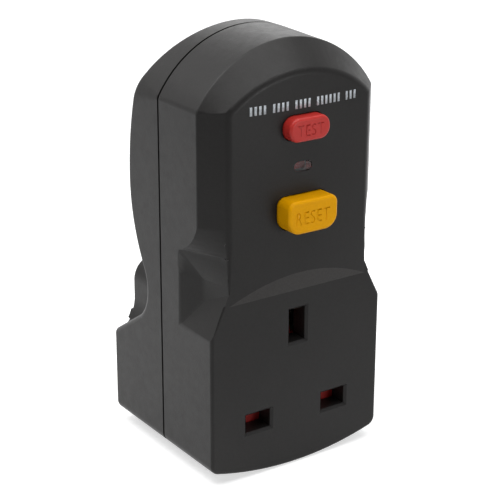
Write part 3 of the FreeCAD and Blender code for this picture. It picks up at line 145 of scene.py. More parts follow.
def softbox(name, place, target, size, power):
    """A broad area lamp that faces a point."""
    lamp = bpy.data.lights.new(name, "AREA")
    lamp.shape = "RECTANGLE"
    lamp.size, lamp.size_y = size
    lamp.energy = power
    thing = shown(name, lamp)
    thing.location = place
    thing.rotation_euler = (Vector(target) - Vector(place)).to_track_quat("-Z", "Y").to_euler()


middle = (0, -0.02, 0.04)
softbox("key_lamp", (-0.35, 0.25, 0.60), middle, (0.45, 0.45), 2.4)
softbox("top_lamp", (-0.02, -0.10, 0.62), middle, (0.75, 0.55), 4.6)
softbox("back_lamp", (0.45, 0.66, 0.36), middle, (0.5, 0.3), 0.8)
softbox("side_lamp", (0.60, 0.00, 0.25), middle, (0.5, 0.5), 0.3)
softbox("front_lamp", (0.28, -0.80, 0.10), middle, (0.3, 0.3), 1.9)

floor_level = cad_box[0][2] - 0.2 * mm
floor_half = 4.0
floor_grey = 0.62
floor_glow = 0.62
floor_mesh = bpy.data.meshes.new("floor")
floor_mesh.from_pydata(
    [(x * floor_half, y * floor_half, floor_level)
     for x, y in ((-1, -1), (1, -1), (1, 1), (-1, 1))], [], [(0, 1, 2, 3)])
shown("floor", floor_mesh)
pale = bpy.data.materials.new("pale_floor")
pale.use_nodes = True
tree = pale.node_tree
tree.nodes.clear()
matt = put(tree, "ShaderNodeBsdfDiffuse", (0, 0), Color=(floor_grey, floor_grey, floor_grey, 1))
white = put(tree, "ShaderNodeEmission", (0, 200), Color=(1, 1, 1, 1))
dimmed = put(tree, "ShaderNodeMath", (-100, 300), operation="MULTIPLY")
dimmed.inputs[1].default_value = floor_glow
both = put(tree, "ShaderNodeAddShader", (200, 100))
ending = put(tree, "ShaderNodeOutputMaterial", (400, 100))
wire_up(tree, (whiteness(tree, "Object", -0.12, -0.05), 0, dimmed, 0),
        (dimmed, 0, white, "Strength"), (matt, 0, both, 0), (white, 0, both, 1),
        (both, 0, ending, "Surface"))
floor_mesh.materials.append(pale)


# Rear housing
# The shell that goes against the wall, of dark grey ABS, bulged at the top and with a deep
# block round the pins. The tool is spark-eroded, which gives the plastic a fine satin grain.


def new_group(name, entries, exits):
    """An empty shader group with named sockets, given as (name, kind, default)."""
    group = bpy.data.node_groups.new(name, "ShaderNodeTree")
    for label, kind, default in entries:
        socket = group.interface.new_socket(label, in_out="INPUT", socket_type=kind)
        socket.default_value = default
    for label, kind in exits:
        group.interface.new_socket(label, in_out="OUTPUT", socket_type=kind)
    return group


grain = new_group(
    "moulded_grain",
    [("Colour", "NodeSocketColor", (0.05, 0.05, 0.05, 1)), ("Mottle", "NodeSocketFloat", 0.1),
     ("Roughness", "NodeSocketFloat", 0.4), ("Spread", "NodeSocketFloat", 0.08),
     ("Fineness", "NodeSocketFloat", 2600.0), ("Depth", "NodeSocketFloat", 0.1)],
    [("Colour", "NodeSocketColor"), ("Roughness", "NodeSocketFloat"),
     ("Normal", "NodeSocketVector")])
inlet = put(grain, "NodeGroupInput", (-1000, 0))
outlet = put(grain, "NodeGroupOutput", (600, 0))
place = put(grain, "ShaderNodeTexCoord", (-1000, -300))
flow = put(grain, "ShaderNodeTexNoise", (-700, 200), Scale=45.0, Detail=4.0)
pits = put(grain, "ShaderNodeTexNoise", (-700, -300), Detail=3.0, Roughness=0.7)
cloud = put(grain, "ShaderNodeTexNoise", (-700, -50), Scale=420.0, Detail=5.0, Roughness=0.65)
speck = put(grain, "ShaderNodeTexNoise", (-700, 450), Scale=1900.0, Detail=2.0)
swing = put(grain, "ShaderNodeMapRange", (-450, 200), From_Min=0.3, From_Max=0.7,
            To_Min=-1.0, To_Max=1.0)
dots = put(grain, "ShaderNodeMapRange", (-450, 450), From_Min=0.35, From_Max=0.65,
           To_Min=-0.8, To_Max=0.8)
summed = put(grain, "ShaderNodeMath", (-350, 320), operation="ADD")
shade = put(grain, "ShaderNodeMath", (-250, 200), operation="MULTIPLY_ADD")
shade.inputs[2].default_value = 1.0
tinted = put(grain, "ShaderNodeMixRGB", (0, 200), blend_type="MULTIPLY", Fac=1.0)
drift = put(grain, "ShaderNodeMapRange", (-450, -50), From_Min=0.3, From_Max=0.7,
            To_Min=-1.0, To_Max=1.0)
rough = put(grain, "ShaderNodeMath", (0, -50), operation="MULTIPLY_ADD")
bump = put(grain, "ShaderNodeBump", (0, -300), Distance=0.00004)
for texture in (flow, pits, cloud, speck):
    wire_up(grain, (place, "Object", texture, "Vector"))
wire_up(grain, (inlet, "Fineness", pits, "Scale"), (flow, "Fac", swing, "Value"),
        (speck, "Fac", dots, "Value"), (swing, 0, summed, 0), (dots, 0, summed, 1),
        (summed, 0, shade, 0), (inlet, "Mottle", shade, 1), (inlet, "Colour", tinted, 1),
        (shade, 0, tinted, 2), (cloud, "Fac", drift, "Value"), (drift, 0, rough, 0),
        (inlet, "Spread", rough, 1), (inlet, "Roughness", rough, 2),
        (pits, "Fac", bump, "Height"), (inlet, "Depth", bump, "Strength"),
        (tinted, 0, outlet, "Colour"), (rough, 0, outlet, "Roughness"),
        (bump, 0, outlet, "Normal"))


def finished(name, finish, **values):
    """A material whose colour, roughness and normal come from a finish, and its shader."""
    made = bpy.data.materials.new(name)
    made.use_nodes = True
    skin = made.node_tree.nodes["Principled BSDF"]
    group = put(made.node_tree, "ShaderNodeGroup", (-300, 0), node_tree=finish, **values)
    for channel, entry in (("Colour", "Base Color"), ("Roughness", "Roughness"),
                           ("Normal", "Normal")):
        wire_up(made.node_tree, (group, channel, skin, entry))
    return made, skin


def moulded(name, colour, roughness, fineness=2600.0, depth=0.25, mottle=0.06, spread=0.05,
            shine=0.5):
    """A plastic with its own colour and the grain, sheen and unevenness of its making."""
    made, skin = finished(name, grain, Colour=(*colour, 1), Mottle=mottle, Roughness=roughness,
                          Spread=spread, Fineness=fineness, Depth=depth)
    skin.inputs["Specular IOR Level"].default_value = shine
    return made


def link(name, mesh, material, body):
    """An object at the origin for a mesh whose place is in its points."""
    thing = shown(name, mesh)
    mesh.materials.clear()
    mesh.materials.append(material)
    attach(thing, body)
    return thing


def merged(node):
    """A copy of a CAD node's mesh with its loose triangles joined and its flats cleared."""
    source = nodes[node].data.copy()
    shell = bmesh.new()
    shell.from_mesh(source)
    bmesh.ops.remove_doubles(shell, verts=shell.verts, dist=1e-6)
    bmesh.ops.dissolve_limit(shell, angle_limit=math.radians(0.6), verts=shell.verts,
                             edges=shell.edges)
    shell.to_mesh(source)
    shell.free()
    source.shade_smooth()
    return source


sharp = math.radians(32)


def even_shading(thing):
    """Lets the large flat faces set the shading at the edges round them."""
    even = thing.modifiers.new("even", "WEIGHTED_NORMAL")
    even.weight = 100
    even.keep_sharp = True


def eased(thing, width, steps=2):
    """Rounds an object's sharp edges a little and keeps its flats even."""
    edge = thing.modifiers.new("ease", "BEVEL")
    edge.width = width
    edge.segments = steps
    edge.use_clamp_overlap = True
    edge.limit_method = "ANGLE"
    edge.angle_limit = sharp
    even_shading(thing)


def drawn_back(mesh, level, step):
    """Moves a shell's rim at the parting line, which widens the groove there."""
    on_rim = 0.02 * mm
    for point in mesh.vertices:
        if abs(point.co.y - level) < on_rim:
            point.co.y += step


def softened(node, name, material, width, body, steps=2):
    """Stands in for a CAD node with the same form and rounded edges."""
    thing = link(name, merged(node), material, body)
    eased(thing, width, steps)
    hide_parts(node)
    return thing


housing_plastic = moulded("dark_abs", (0.0115, 0.0107, 0.0103), 0.40, depth=0.55, mottle=0.10,
                          shine=0.21)
rear_shell = softened("rear_housing", "rear_shell", housing_plastic, 0.2 * mm, "housing")
seam_gap = 0.35 * mm
seam_widening = 0.14 * mm
seam_front = max(point.co.y for point in nodes["front_housing"].data.vertices)
drawn_back(rear_shell.data, seam_front + seam_gap, seam_widening)


# Pins and sleeves
# Two flat line pins and the taller earth pin, cut from half-hard brass and polished. A black
# sleeve is moulded over the rear half of each line pin.

worked = new_group(
    "worked_metal",
    [("Colour", "NodeSocketColor", (0.7, 0.6, 0.4, 1)), ("Stain", "NodeSocketColor",
     (0.4, 0.3, 0.15, 1)), ("Staining", "NodeSocketFloat", 0.3),
     ("Roughness", "NodeSocketFloat", 0.25), ("Stretch", "NodeSocketVector", (1.0, 1.0, 1.0)),
     ("Depth", "NodeSocketFloat", 0.15)],
    [("Colour", "NodeSocketColor"), ("Roughness", "NodeSocketFloat"),
     ("Normal", "NodeSocketVector")])
inlet = put(worked, "NodeGroupInput", (-1100, 0))
outlet = put(worked, "NodeGroupOutput", (600, 0))
place = put(worked, "ShaderNodeTexCoord", (-1100, -300))
along = put(worked, "ShaderNodeMapping", (-900, -200))
lines = put(worked, "ShaderNodeTexNoise", (-650, -200), Scale=2200.0, Detail=3.0)
patch = put(worked, "ShaderNodeTexNoise", (-650, 150), Scale=160.0, Detail=5.0, Roughness=0.6)
worn = put(worked, "ShaderNodeMapRange", (-400, 150), From_Min=0.42, From_Max=0.72)
amount = put(worked, "ShaderNodeMath", (-200, 150), operation="MULTIPLY")
dulled = put(worked, "ShaderNodeMixRGB", (0, 200))
streak = put(worked, "ShaderNodeMapRange", (-400, -100), From_Min=0.3, From_Max=0.7,
             To_Min=-0.07, To_Max=0.07)
matter = put(worked, "ShaderNodeMath", (-200, -50), operation="MULTIPLY_ADD")
matter.inputs[1].default_value = 0.25
total = put(worked, "ShaderNodeMath", (0, -50), operation="ADD")
bump = put(worked, "ShaderNodeBump", (0, -300), Distance=0.00003)
wire_up(worked, (place, "Object", along, "Vector"), (inlet, "Stretch", along, "Scale"),
        (along, 0, lines, "Vector"), (place, "Object", patch, "Vector"),
        (patch, "Fac", worn, "Value"), (worn, 0, amount, 0), (inlet, "Staining", amount, 1),
        (amount, 0, dulled, 0), (inlet, "Colour", dulled, 1), (inlet, "Stain", dulled, 2),
        (lines, "Fac", streak, "Value"), (amount, 0, matter, 0), (streak, 0, matter, 2),
        (matter, 0, total, 0), (inlet, "Roughness", total, 1), (lines, "Fac", bump, "Height"),
        (inlet, "Depth", bump, "Strength"), (dulled, 0, outlet, "Colour"),
        (total, 0, outlet, "Roughness"), (bump, 0, outlet, "Normal"))


def metal(name, colour, stain, roughness, staining=0.3, stretch=(1, 1, 1), depth=0.15):
    """A bare metal with the lines of its rolling or drawing and dulled patches."""
    made, skin = finished(name, worked, Colour=(*colour, 1), Stain=(*stain, 1),
                          Staining=staining, Roughness=roughness, Stretch=stretch, Depth=depth)
    skin.inputs["Metallic"].default_value = 1.0
    return made


pin_brass = metal("pin_brass", (0.78, 0.64, 0.36), (0.50, 0.34, 0.14), 0.16, 0.25,
                  (1.0, 0.06, 1.0))
for pin in ("live", "neutral", "earth"):
    softened(pin + "_pin", pin + "_blade", pin_brass, 0.12 * mm, "housing")
sleeve_black = moulded("sleeve_black", (0.018, 0.018, 0.018), 0.36, 1800.0, 0.15)
for side in ("live", "neutral"):
    softened(side + "_sleeve", side + "_collar", sleeve_black, 0.08 * mm, "housing")


# Current transformer
# A ferrite ring with both line wires through it. Its back half carries the sensing winding,
# enamelled copper wire wound over the ring in spaced turns.


def new_tree(name, entries):
    """A Geometry Nodes tree with named inputs, given as (name, kind, default)."""
    tree = bpy.data.node_groups.new(name, "GeometryNodeTree")
    tree.interface.new_socket("Shape", in_out="INPUT", socket_type="NodeSocketGeometry")
    tree.interface.new_socket("Shape", in_out="OUTPUT", socket_type="NodeSocketGeometry")
    for label, kind, default in entries:
        socket = tree.interface.new_socket(label, in_out="INPUT", socket_type=kind)
        socket.default_value = default
    tree.interface.new_socket("Material", in_out="INPUT", socket_type="NodeSocketMaterial")
    return tree


def close_tree(tree, inlet, last):
    """Ends a tree after its last node: instances made real, smooth and given a material."""
    real = put(tree, "GeometryNodeRealizeInstances", (600, 0))
    smooth = put(tree, "GeometryNodeSetShadeSmooth", (800, 0))
    paint = put(tree, "GeometryNodeSetMaterial", (1000, 0))
    outlet = put(tree, "NodeGroupOutput", (1200, 0))
    wire_up(tree, (last, 0, real, 0), (real, 0, smooth, 0), (smooth, 0, paint, 0),
            (inlet, "Material", paint, "Material"), (paint, 0, outlet, 0))


def corners(node):
    """The lowest and highest corner of a CAD node's box."""
    return tuple(Vector(corner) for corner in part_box(node))


def plain_mesh(thing, name):
    """The mesh that an object's modifiers make; the object itself is removed."""
    depsgraph = bpy.context.evaluated_depsgraph_get()
    mesh = bpy.data.meshes.new_from_object(thing.evaluated_get(depsgraph), depsgraph=depsgraph)
    bpy.data.objects.remove(thing)
    mesh.name = name
    return mesh


def grown(name, tree, material, points=(), **values):
    """The plain mesh that a tree makes from a set of points and its own inputs."""
    base = bpy.data.meshes.new(name)
    base.from_pydata([tuple(point) for point in points], [], [])
    maker = shown(name, base)
    work = maker.modifiers.new("make", "NODES")
    work.node_group = tree
    values["Material"] = material
    for socket in tree.interface.items_tree:
        if socket.in_out == "INPUT" and socket.name in values:
            work[socket.identifier] = values[socket.name]
    return plain_mesh(maker, name)


ring_winding = new_tree("ring_winding", [
    ("Turns", "NodeSocketInt", 16), ("Middle", "NodeSocketFloat", 5.5 * mm),
    ("Breadth", "NodeSocketFloat", 5 * mm), ("Height", "NodeSocketFloat", 7 * mm),
    ("Wire", "NodeSocketFloat", 0.3 * mm), ("Sweep", "NodeSocketFloat", math.pi)])
inlet = put(ring_winding, "NodeGroupInput", (-1200, 0))
loop = put(ring_winding, "GeometryNodeCurvePrimitiveQuadrilateral", (-900, 200))
turned = put(ring_winding, "GeometryNodeTransform", (-700, 200))
turned.inputs["Rotation"].default_value = (math.pi / 2, 0, 0)
corner = put(ring_winding, "GeometryNodeFilletCurve", (-500, 200), mode="POLY")
corner.inputs["Count"].default_value = 4
strand = put(ring_winding, "GeometryNodeCurvePrimitiveCircle", (-500, -50))
strand.inputs["Resolution"].default_value = 8
swept = put(ring_winding, "GeometryNodeCurveToMesh", (-300, 200))
outward = put(ring_winding, "ShaderNodeCombineXYZ", (-300, -100))
shifted = put(ring_winding, "GeometryNodeTransform", (-100, 200))
seats = put(ring_winding, "GeometryNodeMeshLine", (-500, -300))
seats.inputs["Offset"].default_value = (0, 0, 0)
order = put(ring_winding, "GeometryNodeInputIndex", (-900, -500))
gaps = put(ring_winding, "ShaderNodeMath", (-900, -350), operation="SUBTRACT")
gaps.inputs[1].default_value = 1.0
step = put(ring_winding, "ShaderNodeMath", (-700, -400), operation="DIVIDE")
angle = put(ring_winding, "ShaderNodeMath", (-500, -500), operation="MULTIPLY")
facing = put(ring_winding, "ShaderNodeCombineXYZ", (-300, -500))
placed = put(ring_winding, "GeometryNodeInstanceOnPoints", (300, 0))
wire_up(ring_winding, (inlet, "Breadth", loop, "Width"), (inlet, "Height", loop, "Height"),
        (loop, 0, turned, "Geometry"), (turned, 0, corner, "Curve"),
        (inlet, "Wire", corner, "Radius"), (corner, 0, swept, "Curve"),
        (inlet, "Wire", strand, "Radius"), (strand, 0, swept, "Profile Curve"),
        (swept, 0, shifted, "Geometry"), (inlet, "Middle", outward, "X"),
        (outward, 0, shifted, "Translation"), (inlet, "Turns", seats, "Count"),
        (inlet, "Turns", gaps, 0), (inlet, "Sweep", step, 0), (gaps, 0, step, 1),
        (order, 0, angle, 0), (step, 0, angle, 1), (angle, 0, facing, "Z"),
        (seats, 0, placed, "Points"), (shifted, 0, placed, "Instance"),
        (facing, 0, placed, "Rotation"))
close_tree(ring_winding, inlet, placed)

ferrite = moulded("coated_ferrite", (0.055, 0.055, 0.06), 0.5, 900.0, 0.5, 0.2)
softened("transformer_core", "ferrite_ring", ferrite, 0.4 * mm, "housing")
copper = metal("enamelled_copper", (0.60, 0.25, 0.09), (0.36, 0.12, 0.03), 0.22, 0.4)
core_low, core_high = corners("transformer_core")
core_middle = (core_low + core_high) / 2
wire = 0.3 * mm
wire_room = 2.2 * wire
core_inner = 3.5 * mm
core_outer = (core_high.x - core_low.x) / 2
wound_angle = math.radians(164)
first_turn = math.radians(8)
turns = grown("sense_turns", ring_winding, copper, Turns=17,
              Middle=(core_inner + core_outer) / 2,
              Breadth=core_outer - core_inner + wire_room,
              Height=core_high.z - core_low.z + wire_room, Wire=wire, Sweep=wound_angle)
turns.transform(Matrix.Translation(core_middle) @ Matrix.Rotation(first_turn, 4, "Z"))
sensing = link("sense_turns", turns, copper, "housing")
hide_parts("sensing_winding")


# Line leads
# Two round insulated wires, brown and blue, soldered to the pins. They run up through the
# ring and over to the back of the circuit board.


def keep_node(name, material):
    """Gives a CAD node that stays as it is its material."""
    mesh = nodes[name].data
    mesh.materials.clear()
    mesh.materials.append(material)


lead_brown = moulded("lead_brown", (0.16, 0.055, 0.022), 0.40, 1500.0, 0.3)
lead_blue = moulded("lead_blue", (0.025, 0.075, 0.32), 0.40, 1500.0, 0.3)
keep_node("live_lead", lead_brown)
keep_node("neutral_lead", lead_blue)


# Inner tray and socket contacts
# An off-white moulded plate between the shells. It carries the folded brass jaws that grip
# a plug's pins, the earth strap and the two brass links up to the board.

tray_plastic = moulded("tray_plastic", (0.66, 0.65, 0.60), 0.45, 2200.0, 0.25, 0.03)
contact_brass = metal("contact_brass", (0.76, 0.60, 0.31), (0.52, 0.33, 0.12), 0.28, 0.35,
                      (1.0, 0.15, 1.0))
softened("inner_tray", "contact_tray", tray_plastic, 0.15 * mm, "housing")
for pin in ("live", "neutral", "earth"):
    softened(pin + "_socket_contact", pin + "_jaw", contact_brass, 0.08 * mm, "housing")
softened("earth_strap", "earth_bar", contact_brass, 0.1 * mm, "housing")
for side in ("live", "neutral"):
    softened(side + "_link", side + "_bar", contact_brass, 0.1 * mm, "housing")


# Circuit board
# Glass-epoxy laminate with a green solder mask over copper tracks. Two screws hold it on
# the rear shell's posts, and the joints of its parts are small domes of solder on its face.

laminate = bpy.data.materials.new("board_green")
laminate.use_nodes = True
tree = laminate.node_tree
skin = tree.nodes["Principled BSDF"]
place = put(tree, "ShaderNodeTexCoord", (-1100, 0))
upright = put(tree, "ShaderNodeMapping", (-900, 0))
upright.inputs["Rotation"].default_value = (math.radians(90), 0, 0)
tracks = put(tree, "ShaderNodeTexBrick", (-650, 0), Scale=170.0, Mortar_Size=0.035,
             Mortar_Smooth=0.1, Color1=(0.012, 0.11, 0.04, 1), Color2=(0.014, 0.13, 0.05, 1),
             Mortar=(0.035, 0.24, 0.09, 1))
mask_grain = put(tree, "ShaderNodeTexNoise", (-650, -350), Scale=900.0, Detail=3.0)
sheen = put(tree, "ShaderNodeMapRange", (-400, -350), To_Min=0.22, To_Max=0.4)
relief = put(tree, "ShaderNodeBump", (-200, -200), Strength=0.4, Distance=0.00005)
wire_up(tree, (place, "Object", upright, "Vector"), (upright, 0, tracks, "Vector"),
        (place, "Object", mask_grain, "Vector"), (tracks, "Color", skin, "Base Color"),
        (mask_grain, "Fac", sheen, "Value"), (sheen, 0, skin, "Roughness"),
        (tracks, "Fac", relief, "Height"), (relief, 0, skin, "Normal"))
keep_node("circuit_board", laminate)

board_low = corners("circuit_board")[0]
solder_domes = new_tree("solder_domes", [
    ("Radius", "NodeSocketFloat", 0.7 * mm), ("Rise", "NodeSocketFloat", 0.5)])
inlet = put(solder_domes, "NodeGroupInput", (-700, 0))
ball = put(solder_domes, "GeometryNodeMeshUVSphere", (-500, -100), Segments=12, Rings=8)
flatter = put(solder_domes, "ShaderNodeCombineXYZ", (-500, -300), X=1.0, Z=1.0)
squat = put(solder_domes, "GeometryNodeTransform", (-250, -100))
placed = put(solder_domes, "GeometryNodeInstanceOnPoints", (200, 0))
wire_up(solder_domes, (inlet, "Radius", ball, "Radius"), (ball, 0, squat, "Geometry"),
        (inlet, "Rise", flatter, "Y"), (flatter, 0, squat, "Scale"),
        (inlet, "Shape", placed, "Points"), (squat, 0, placed, "Instance"))
close_tree(solder_domes, inlet, placed)

tin = metal("tin_solder", (0.66, 0.66, 0.65), (0.42, 0.42, 0.42), 0.24, 0.4)
joint_places = [(x * mm, board_low.y, z * mm) for x, z in (
    (-13.0, 58.0), (-9.5, 57.0), (-7.0, 71.5), (-3.0, 71.5), (3.0, 71.5), (7.0, 71.5),
    (-9.0, 41.2), (-6.0, 41.2), (-3.0, 41.2), (3.0, 41.2), (6.0, 41.2), (9.0, 41.2),
    (12.5, 42.4), (12.5, 46.0), (9.5, 57.5), (13.2, 58.6))]
domes = grown("solder_joints", solder_domes, tin, joint_places, Radius=0.75 * mm, Rise=0.55)
link("solder_joints", domes, tin, "housing")

zinc = metal("bright_zinc", (0.62, 0.62, 0.60), (0.40, 0.40, 0.40), 0.22, 0.35)
softened("board_screws", "board_fixings", zinc, 0.1 * mm, "housing")


# Parts on the board
# A dipped disc and a moulded capacitor, a coated resistor with its bands and a small chip,
# as the factory solders them in.


def lathed(profile, base, axis, steps=32):
    """A closed turned form from (distance along the axis, radius) pairs."""
    shell = bmesh.new()
    side = Vector((0, 0, 1))
    rings = []
    for along_axis, radius in profile:
        middle_point = Vector(base) + Vector(axis) * along_axis
        ring = []
        for number in range(steps):
            turn = Matrix.Rotation(2 * math.pi * number / steps, 3, Vector(axis))
            ring.append(shell.verts.new(middle_point + turn @ side * radius))
        rings.append(ring)
    for lower, upper in zip(rings, rings[1:]):
        for number in range(steps):
            after = (number + 1) % steps
            shell.faces.new((lower[number], lower[after], upper[after], upper[number]))
    shell.faces.new(rings[0])
    shell.faces.new(rings[-1])
    bmesh.ops.recalc_face_normals(shell, faces=shell.faces)
    mesh = bpy.data.meshes.new("lathed")
    shell.to_mesh(mesh)
    shell.free()
    mesh.shade_smooth()
    return mesh


body_low, body_high = corners("test_resistor")
span = body_high.x - body_low.x
girth = (body_high.z - body_low.z) / 2
start = (body_low.x, (body_low.y + body_high.y) / 2, (body_low.z + body_high.z) / 2)
bone = [(0.0, 0.35), (0.02, 0.75), (0.08, 0.97), (0.2, 1.0), (0.27, 0.88), (0.73, 0.88),
        (0.8, 1.0), (0.92, 0.97), (0.98, 0.75), (1.0, 0.35)]
resistor = lathed([(share * span, wide * girth) for share, wide in bone], start, (1, 0, 0))
tan = moulded("resistor_tan", (0.50, 0.36, 0.20), 0.35, 900.0, 0.4, 0.05)
resistor = link("resistor_body", resistor, tan, "housing")
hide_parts("test_resistor")
on_end, on_waist, half_band = 1.015, 0.9, 0.03
for share, wide, name, colour in (
        (0.14, on_end, "band_brown", (0.10, 0.035, 0.015)),
        (0.36, on_waist, "band_black", (0.01, 0.01, 0.01)),
        (0.50, on_waist, "band_orange", (0.60, 0.16, 0.01)),
        (0.86, on_end, "band_gold", (0.45, 0.30, 0.08))):
    ring = lathed([((share - half_band) * span, wide * girth),
                   ((share + half_band) * span, wide * girth)], start, (1, 0, 0))
    link(name, ring, moulded(name, colour, 0.4), "housing")

mustard = moulded("capacitor_yellow", (0.64, 0.46, 0.05), 0.32, 1200.0, 0.2, 0.04)
softened("storage_capacitor", "film_capacitor", mustard, 0.5 * mm, "housing",
         3)
disc_low, disc_high = corners("surge_absorber")
thick = disc_high.y - disc_low.y
reach = (disc_high.z - disc_low.z) / 2
lentil = [(0.0, 0.15), (0.03, 0.45), (0.12, 0.75), (0.3, 0.94), (0.5, 1.0), (0.7, 0.94),
          (0.88, 0.75), (0.97, 0.45), (1.0, 0.15)]
dipped = lathed([(share * thick, wide * reach) for share, wide in lentil],
                ((disc_low.x + disc_high.x) / 2, disc_low.y, (disc_low.z + disc_high.z) / 2),
                (0, 1, 0), 40)
epoxy_blue = moulded("dipped_blue", (0.03, 0.11, 0.46), 0.28, 700.0, 0.3, 0.05)
dipped = link("dipped_disc", dipped, epoxy_blue, "housing")
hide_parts("surge_absorber")
chip_black = moulded("chip_black", (0.016, 0.016, 0.018), 0.5, 3000.0, 0.3)
softened("control_chip", "chip_body", chip_black, 0.2 * mm, "housing")


# Solenoid and latch
# A bent steel frame holds a white bobbin wound with enamelled copper. Its plunger pulls the
# latch plate sideways off the reset stem, against a small spring.

wound_wire = new_tree("wound_wire", [
    ("Turns", "NodeSocketFloat", 5.0), ("Radius", "NodeSocketFloat", 2 * mm),
    ("Length", "NodeSocketFloat", 10 * mm), ("Wire", "NodeSocketFloat", 0.3 * mm),
    ("Facets", "NodeSocketInt", 24)])
inlet = put(wound_wire, "NodeGroupInput", (-800, 0))
helix = put(wound_wire, "GeometryNodeCurveSpiral", (-500, 100))
strand = put(wound_wire, "GeometryNodeCurvePrimitiveCircle", (-500, -200))
strand.inputs["Resolution"].default_value = 8
swept = put(wound_wire, "GeometryNodeCurveToMesh", (-200, 0))
swept.inputs["Fill Caps"].default_value = True
wire_up(wound_wire, (inlet, "Turns", helix, "Rotations"),
        (inlet, "Radius", helix, "Start Radius"), (inlet, "Radius", helix, "End Radius"),
        (inlet, "Length", helix, "Height"), (inlet, "Facets", helix, "Resolution"),
        (inlet, "Wire", strand, "Radius"), (helix, 0, swept, "Curve"),
        (strand, 0, swept, "Profile Curve"))
close_tree(wound_wire, inlet, swept)

along_x = Matrix.Rotation(math.pi / 2, 4, "Y")
along_y = Matrix.Rotation(-math.pi / 2, 4, "X")
along_z = Matrix.Identity(4)


def wound(name, node, turn, turns, wire, material, body):
    """A coil of round wire that fills a CAD node's box, wound along one of its axes."""
    low, high = corners(node)
    direction = turn @ Vector((0, 0, 1))
    axis = max(range(3), key=lambda i: abs(direction[i]))
    others = [i for i in range(3) if i != axis]
    half = min(high[i] - low[i] for i in others) / 2
    begin = (low + high) / 2
    begin[axis] = low[axis] + wire
    mesh = grown(name, wound_wire, material, Turns=float(turns), Radius=half - wire,
                 Length=high[axis] - low[axis] - 2 * wire, Wire=wire)
    mesh.transform(Matrix.Translation(begin) @ turn)
    return link(name, mesh, material, body)


frame_steel = metal("plated_steel", (0.58, 0.58, 0.57), (0.38, 0.37, 0.36), 0.30, 0.4,
                    (0.2, 1.0, 1.0))
spring_steel = metal("spring_steel", (0.48, 0.48, 0.49), (0.28, 0.27, 0.26), 0.24, 0.3)
softened("solenoid_frame", "solenoid_bracket", frame_steel, 0.12 * mm, "housing")
bobbin_nylon = moulded("bobbin_nylon", (0.62, 0.61, 0.57), 0.4, 2200.0, 0.2, 0.03)
softened("solenoid_bobbin", "wire_bobbin", bobbin_nylon, 0.1 * mm, "housing")
keep_node("solenoid_coil", copper)
wound("coil_turns", "solenoid_coil", along_x, 30, 0.2 * mm, copper, "housing")
softened("solenoid_plunger", "plunger_rod", frame_steel, 0.15 * mm, "plunger")
softened("latch_plate", "latch_strip", frame_steel, 0.1 * mm, "plunger")
latch_coil = wound("latch_coil", "latch_spring", along_x, 4, 0.3 * mm, spring_steel,
                   "housing")
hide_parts("latch_spring")
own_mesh(latch_coil)


# Contacts and their carrier
# A moulded nylon slide carries two brass blades with contact studs. The trip spring pushes
# it away from the board, which parts the studs from the fixed contacts soldered there.

softened("contact_carrier", "contact_slide", bobbin_nylon, 0.15 * mm, "carrier")
softened("moving_contacts", "moving_blades", contact_brass, 0.08 * mm, "carrier")
softened("fixed_contacts", "fixed_blades", contact_brass, 0.08 * mm, "housing")
trip_coil = wound("trip_coil", "trip_spring", along_y, 5, 0.35 * mm, spring_steel,
                  "housing")
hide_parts("trip_spring")


# Mechanism frame and flag
# The nylon frame stands on four legs on the board and guides the reset stem. The red flag
# between its ears fills the window and tips away from it when the contacts part.

softened("mechanism_frame", "trip_frame", bobbin_nylon, 0.15 * mm, "housing")
flag_red = moulded("flag_red", (0.50, 0.03, 0.02), 0.35, 2200.0, 0.2, 0.03)
softened("indicator_flag", "window_flag", flag_red, 0.1 * mm, "flag")


# Shutter
# A red moulded slide behind the socket face. The earth pin of a plug pushes its ramp down
# and so uncovers the line slots, and a spring under it brings it back.

shutter_red = moulded("shutter_red", (0.24, 0.010, 0.008), 0.35, 2200.0, 0.2, 0.03)
softened("shutter", "red_shutter", shutter_red, 0.12 * mm, "shutter_slider")
shutter_coil = wound("shutter_coil", "shutter_spring", along_z, 5, 0.24 * mm, spring_steel,
                     "housing")
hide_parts("shutter_spring")
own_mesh(shutter_coil)


# Test and reset buttons
# Glossy caps moulded through in colour, each with its word engraved in its face. A flange
# behind the panel keeps it in, and a coil spring pushes the reset button out.

engraving = 0.13 * mm
cap_edge = 0.12 * mm


def engraved(node, name, word, x, z, breadth, tall, material, body):
    """Stands in for a button with eased edges and a word cut into its face about x and z."""
    letters = bpy.data.curves.new(name + "_word", "FONT")
    letters.body = word
    letters.align_x = "CENTER"
    letters.align_y = "CENTER"
    letters.space_character = 1.12
    letters.offset = -0.008
    letters.extrude = 0.5
    text = shown(name + "_word", letters)
    bpy.context.view_layer.update()
    cutter_mesh = bpy.data.meshes.new_from_object(text)
    bpy.data.objects.remove(text)
    spots = [point.co for point in cutter_mesh.vertices]
    low_x, high_x = min(p.x for p in spots), max(p.x for p in spots)
    low_y, high_y = min(p.y for p in spots), max(p.y for p in spots)
    face_place = (x * mm, corners(node)[0].y, z * mm)
    cutter_mesh.transform(
        Matrix.Translation(face_place) @ Matrix.Rotation(math.pi / 2, 4, "X")
        @ Matrix.Diagonal((breadth * mm / (high_x - low_x), tall * mm / (high_y - low_y),
                           2 * engraving, 1))
        @ Matrix.Translation((-(low_x + high_x) / 2, -(low_y + high_y) / 2, 0)))
    cutter = shown(name + "_cutter", cutter_mesh)
    blank = shown(name + "_blank", merged(node))
    eased(blank, cap_edge, 3)
    sink = blank.modifiers.new("sink", "BOOLEAN")
    sink.operation = "DIFFERENCE"
    sink.solver = "EXACT"
    sink.object = cutter
    mesh = plain_mesh(blank, name)
    bpy.data.objects.remove(cutter)
    mesh.set_sharp_from_angle(angle=sharp)
    cap = link(name, mesh, material, body)
    even_shading(cap)
    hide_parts(node)


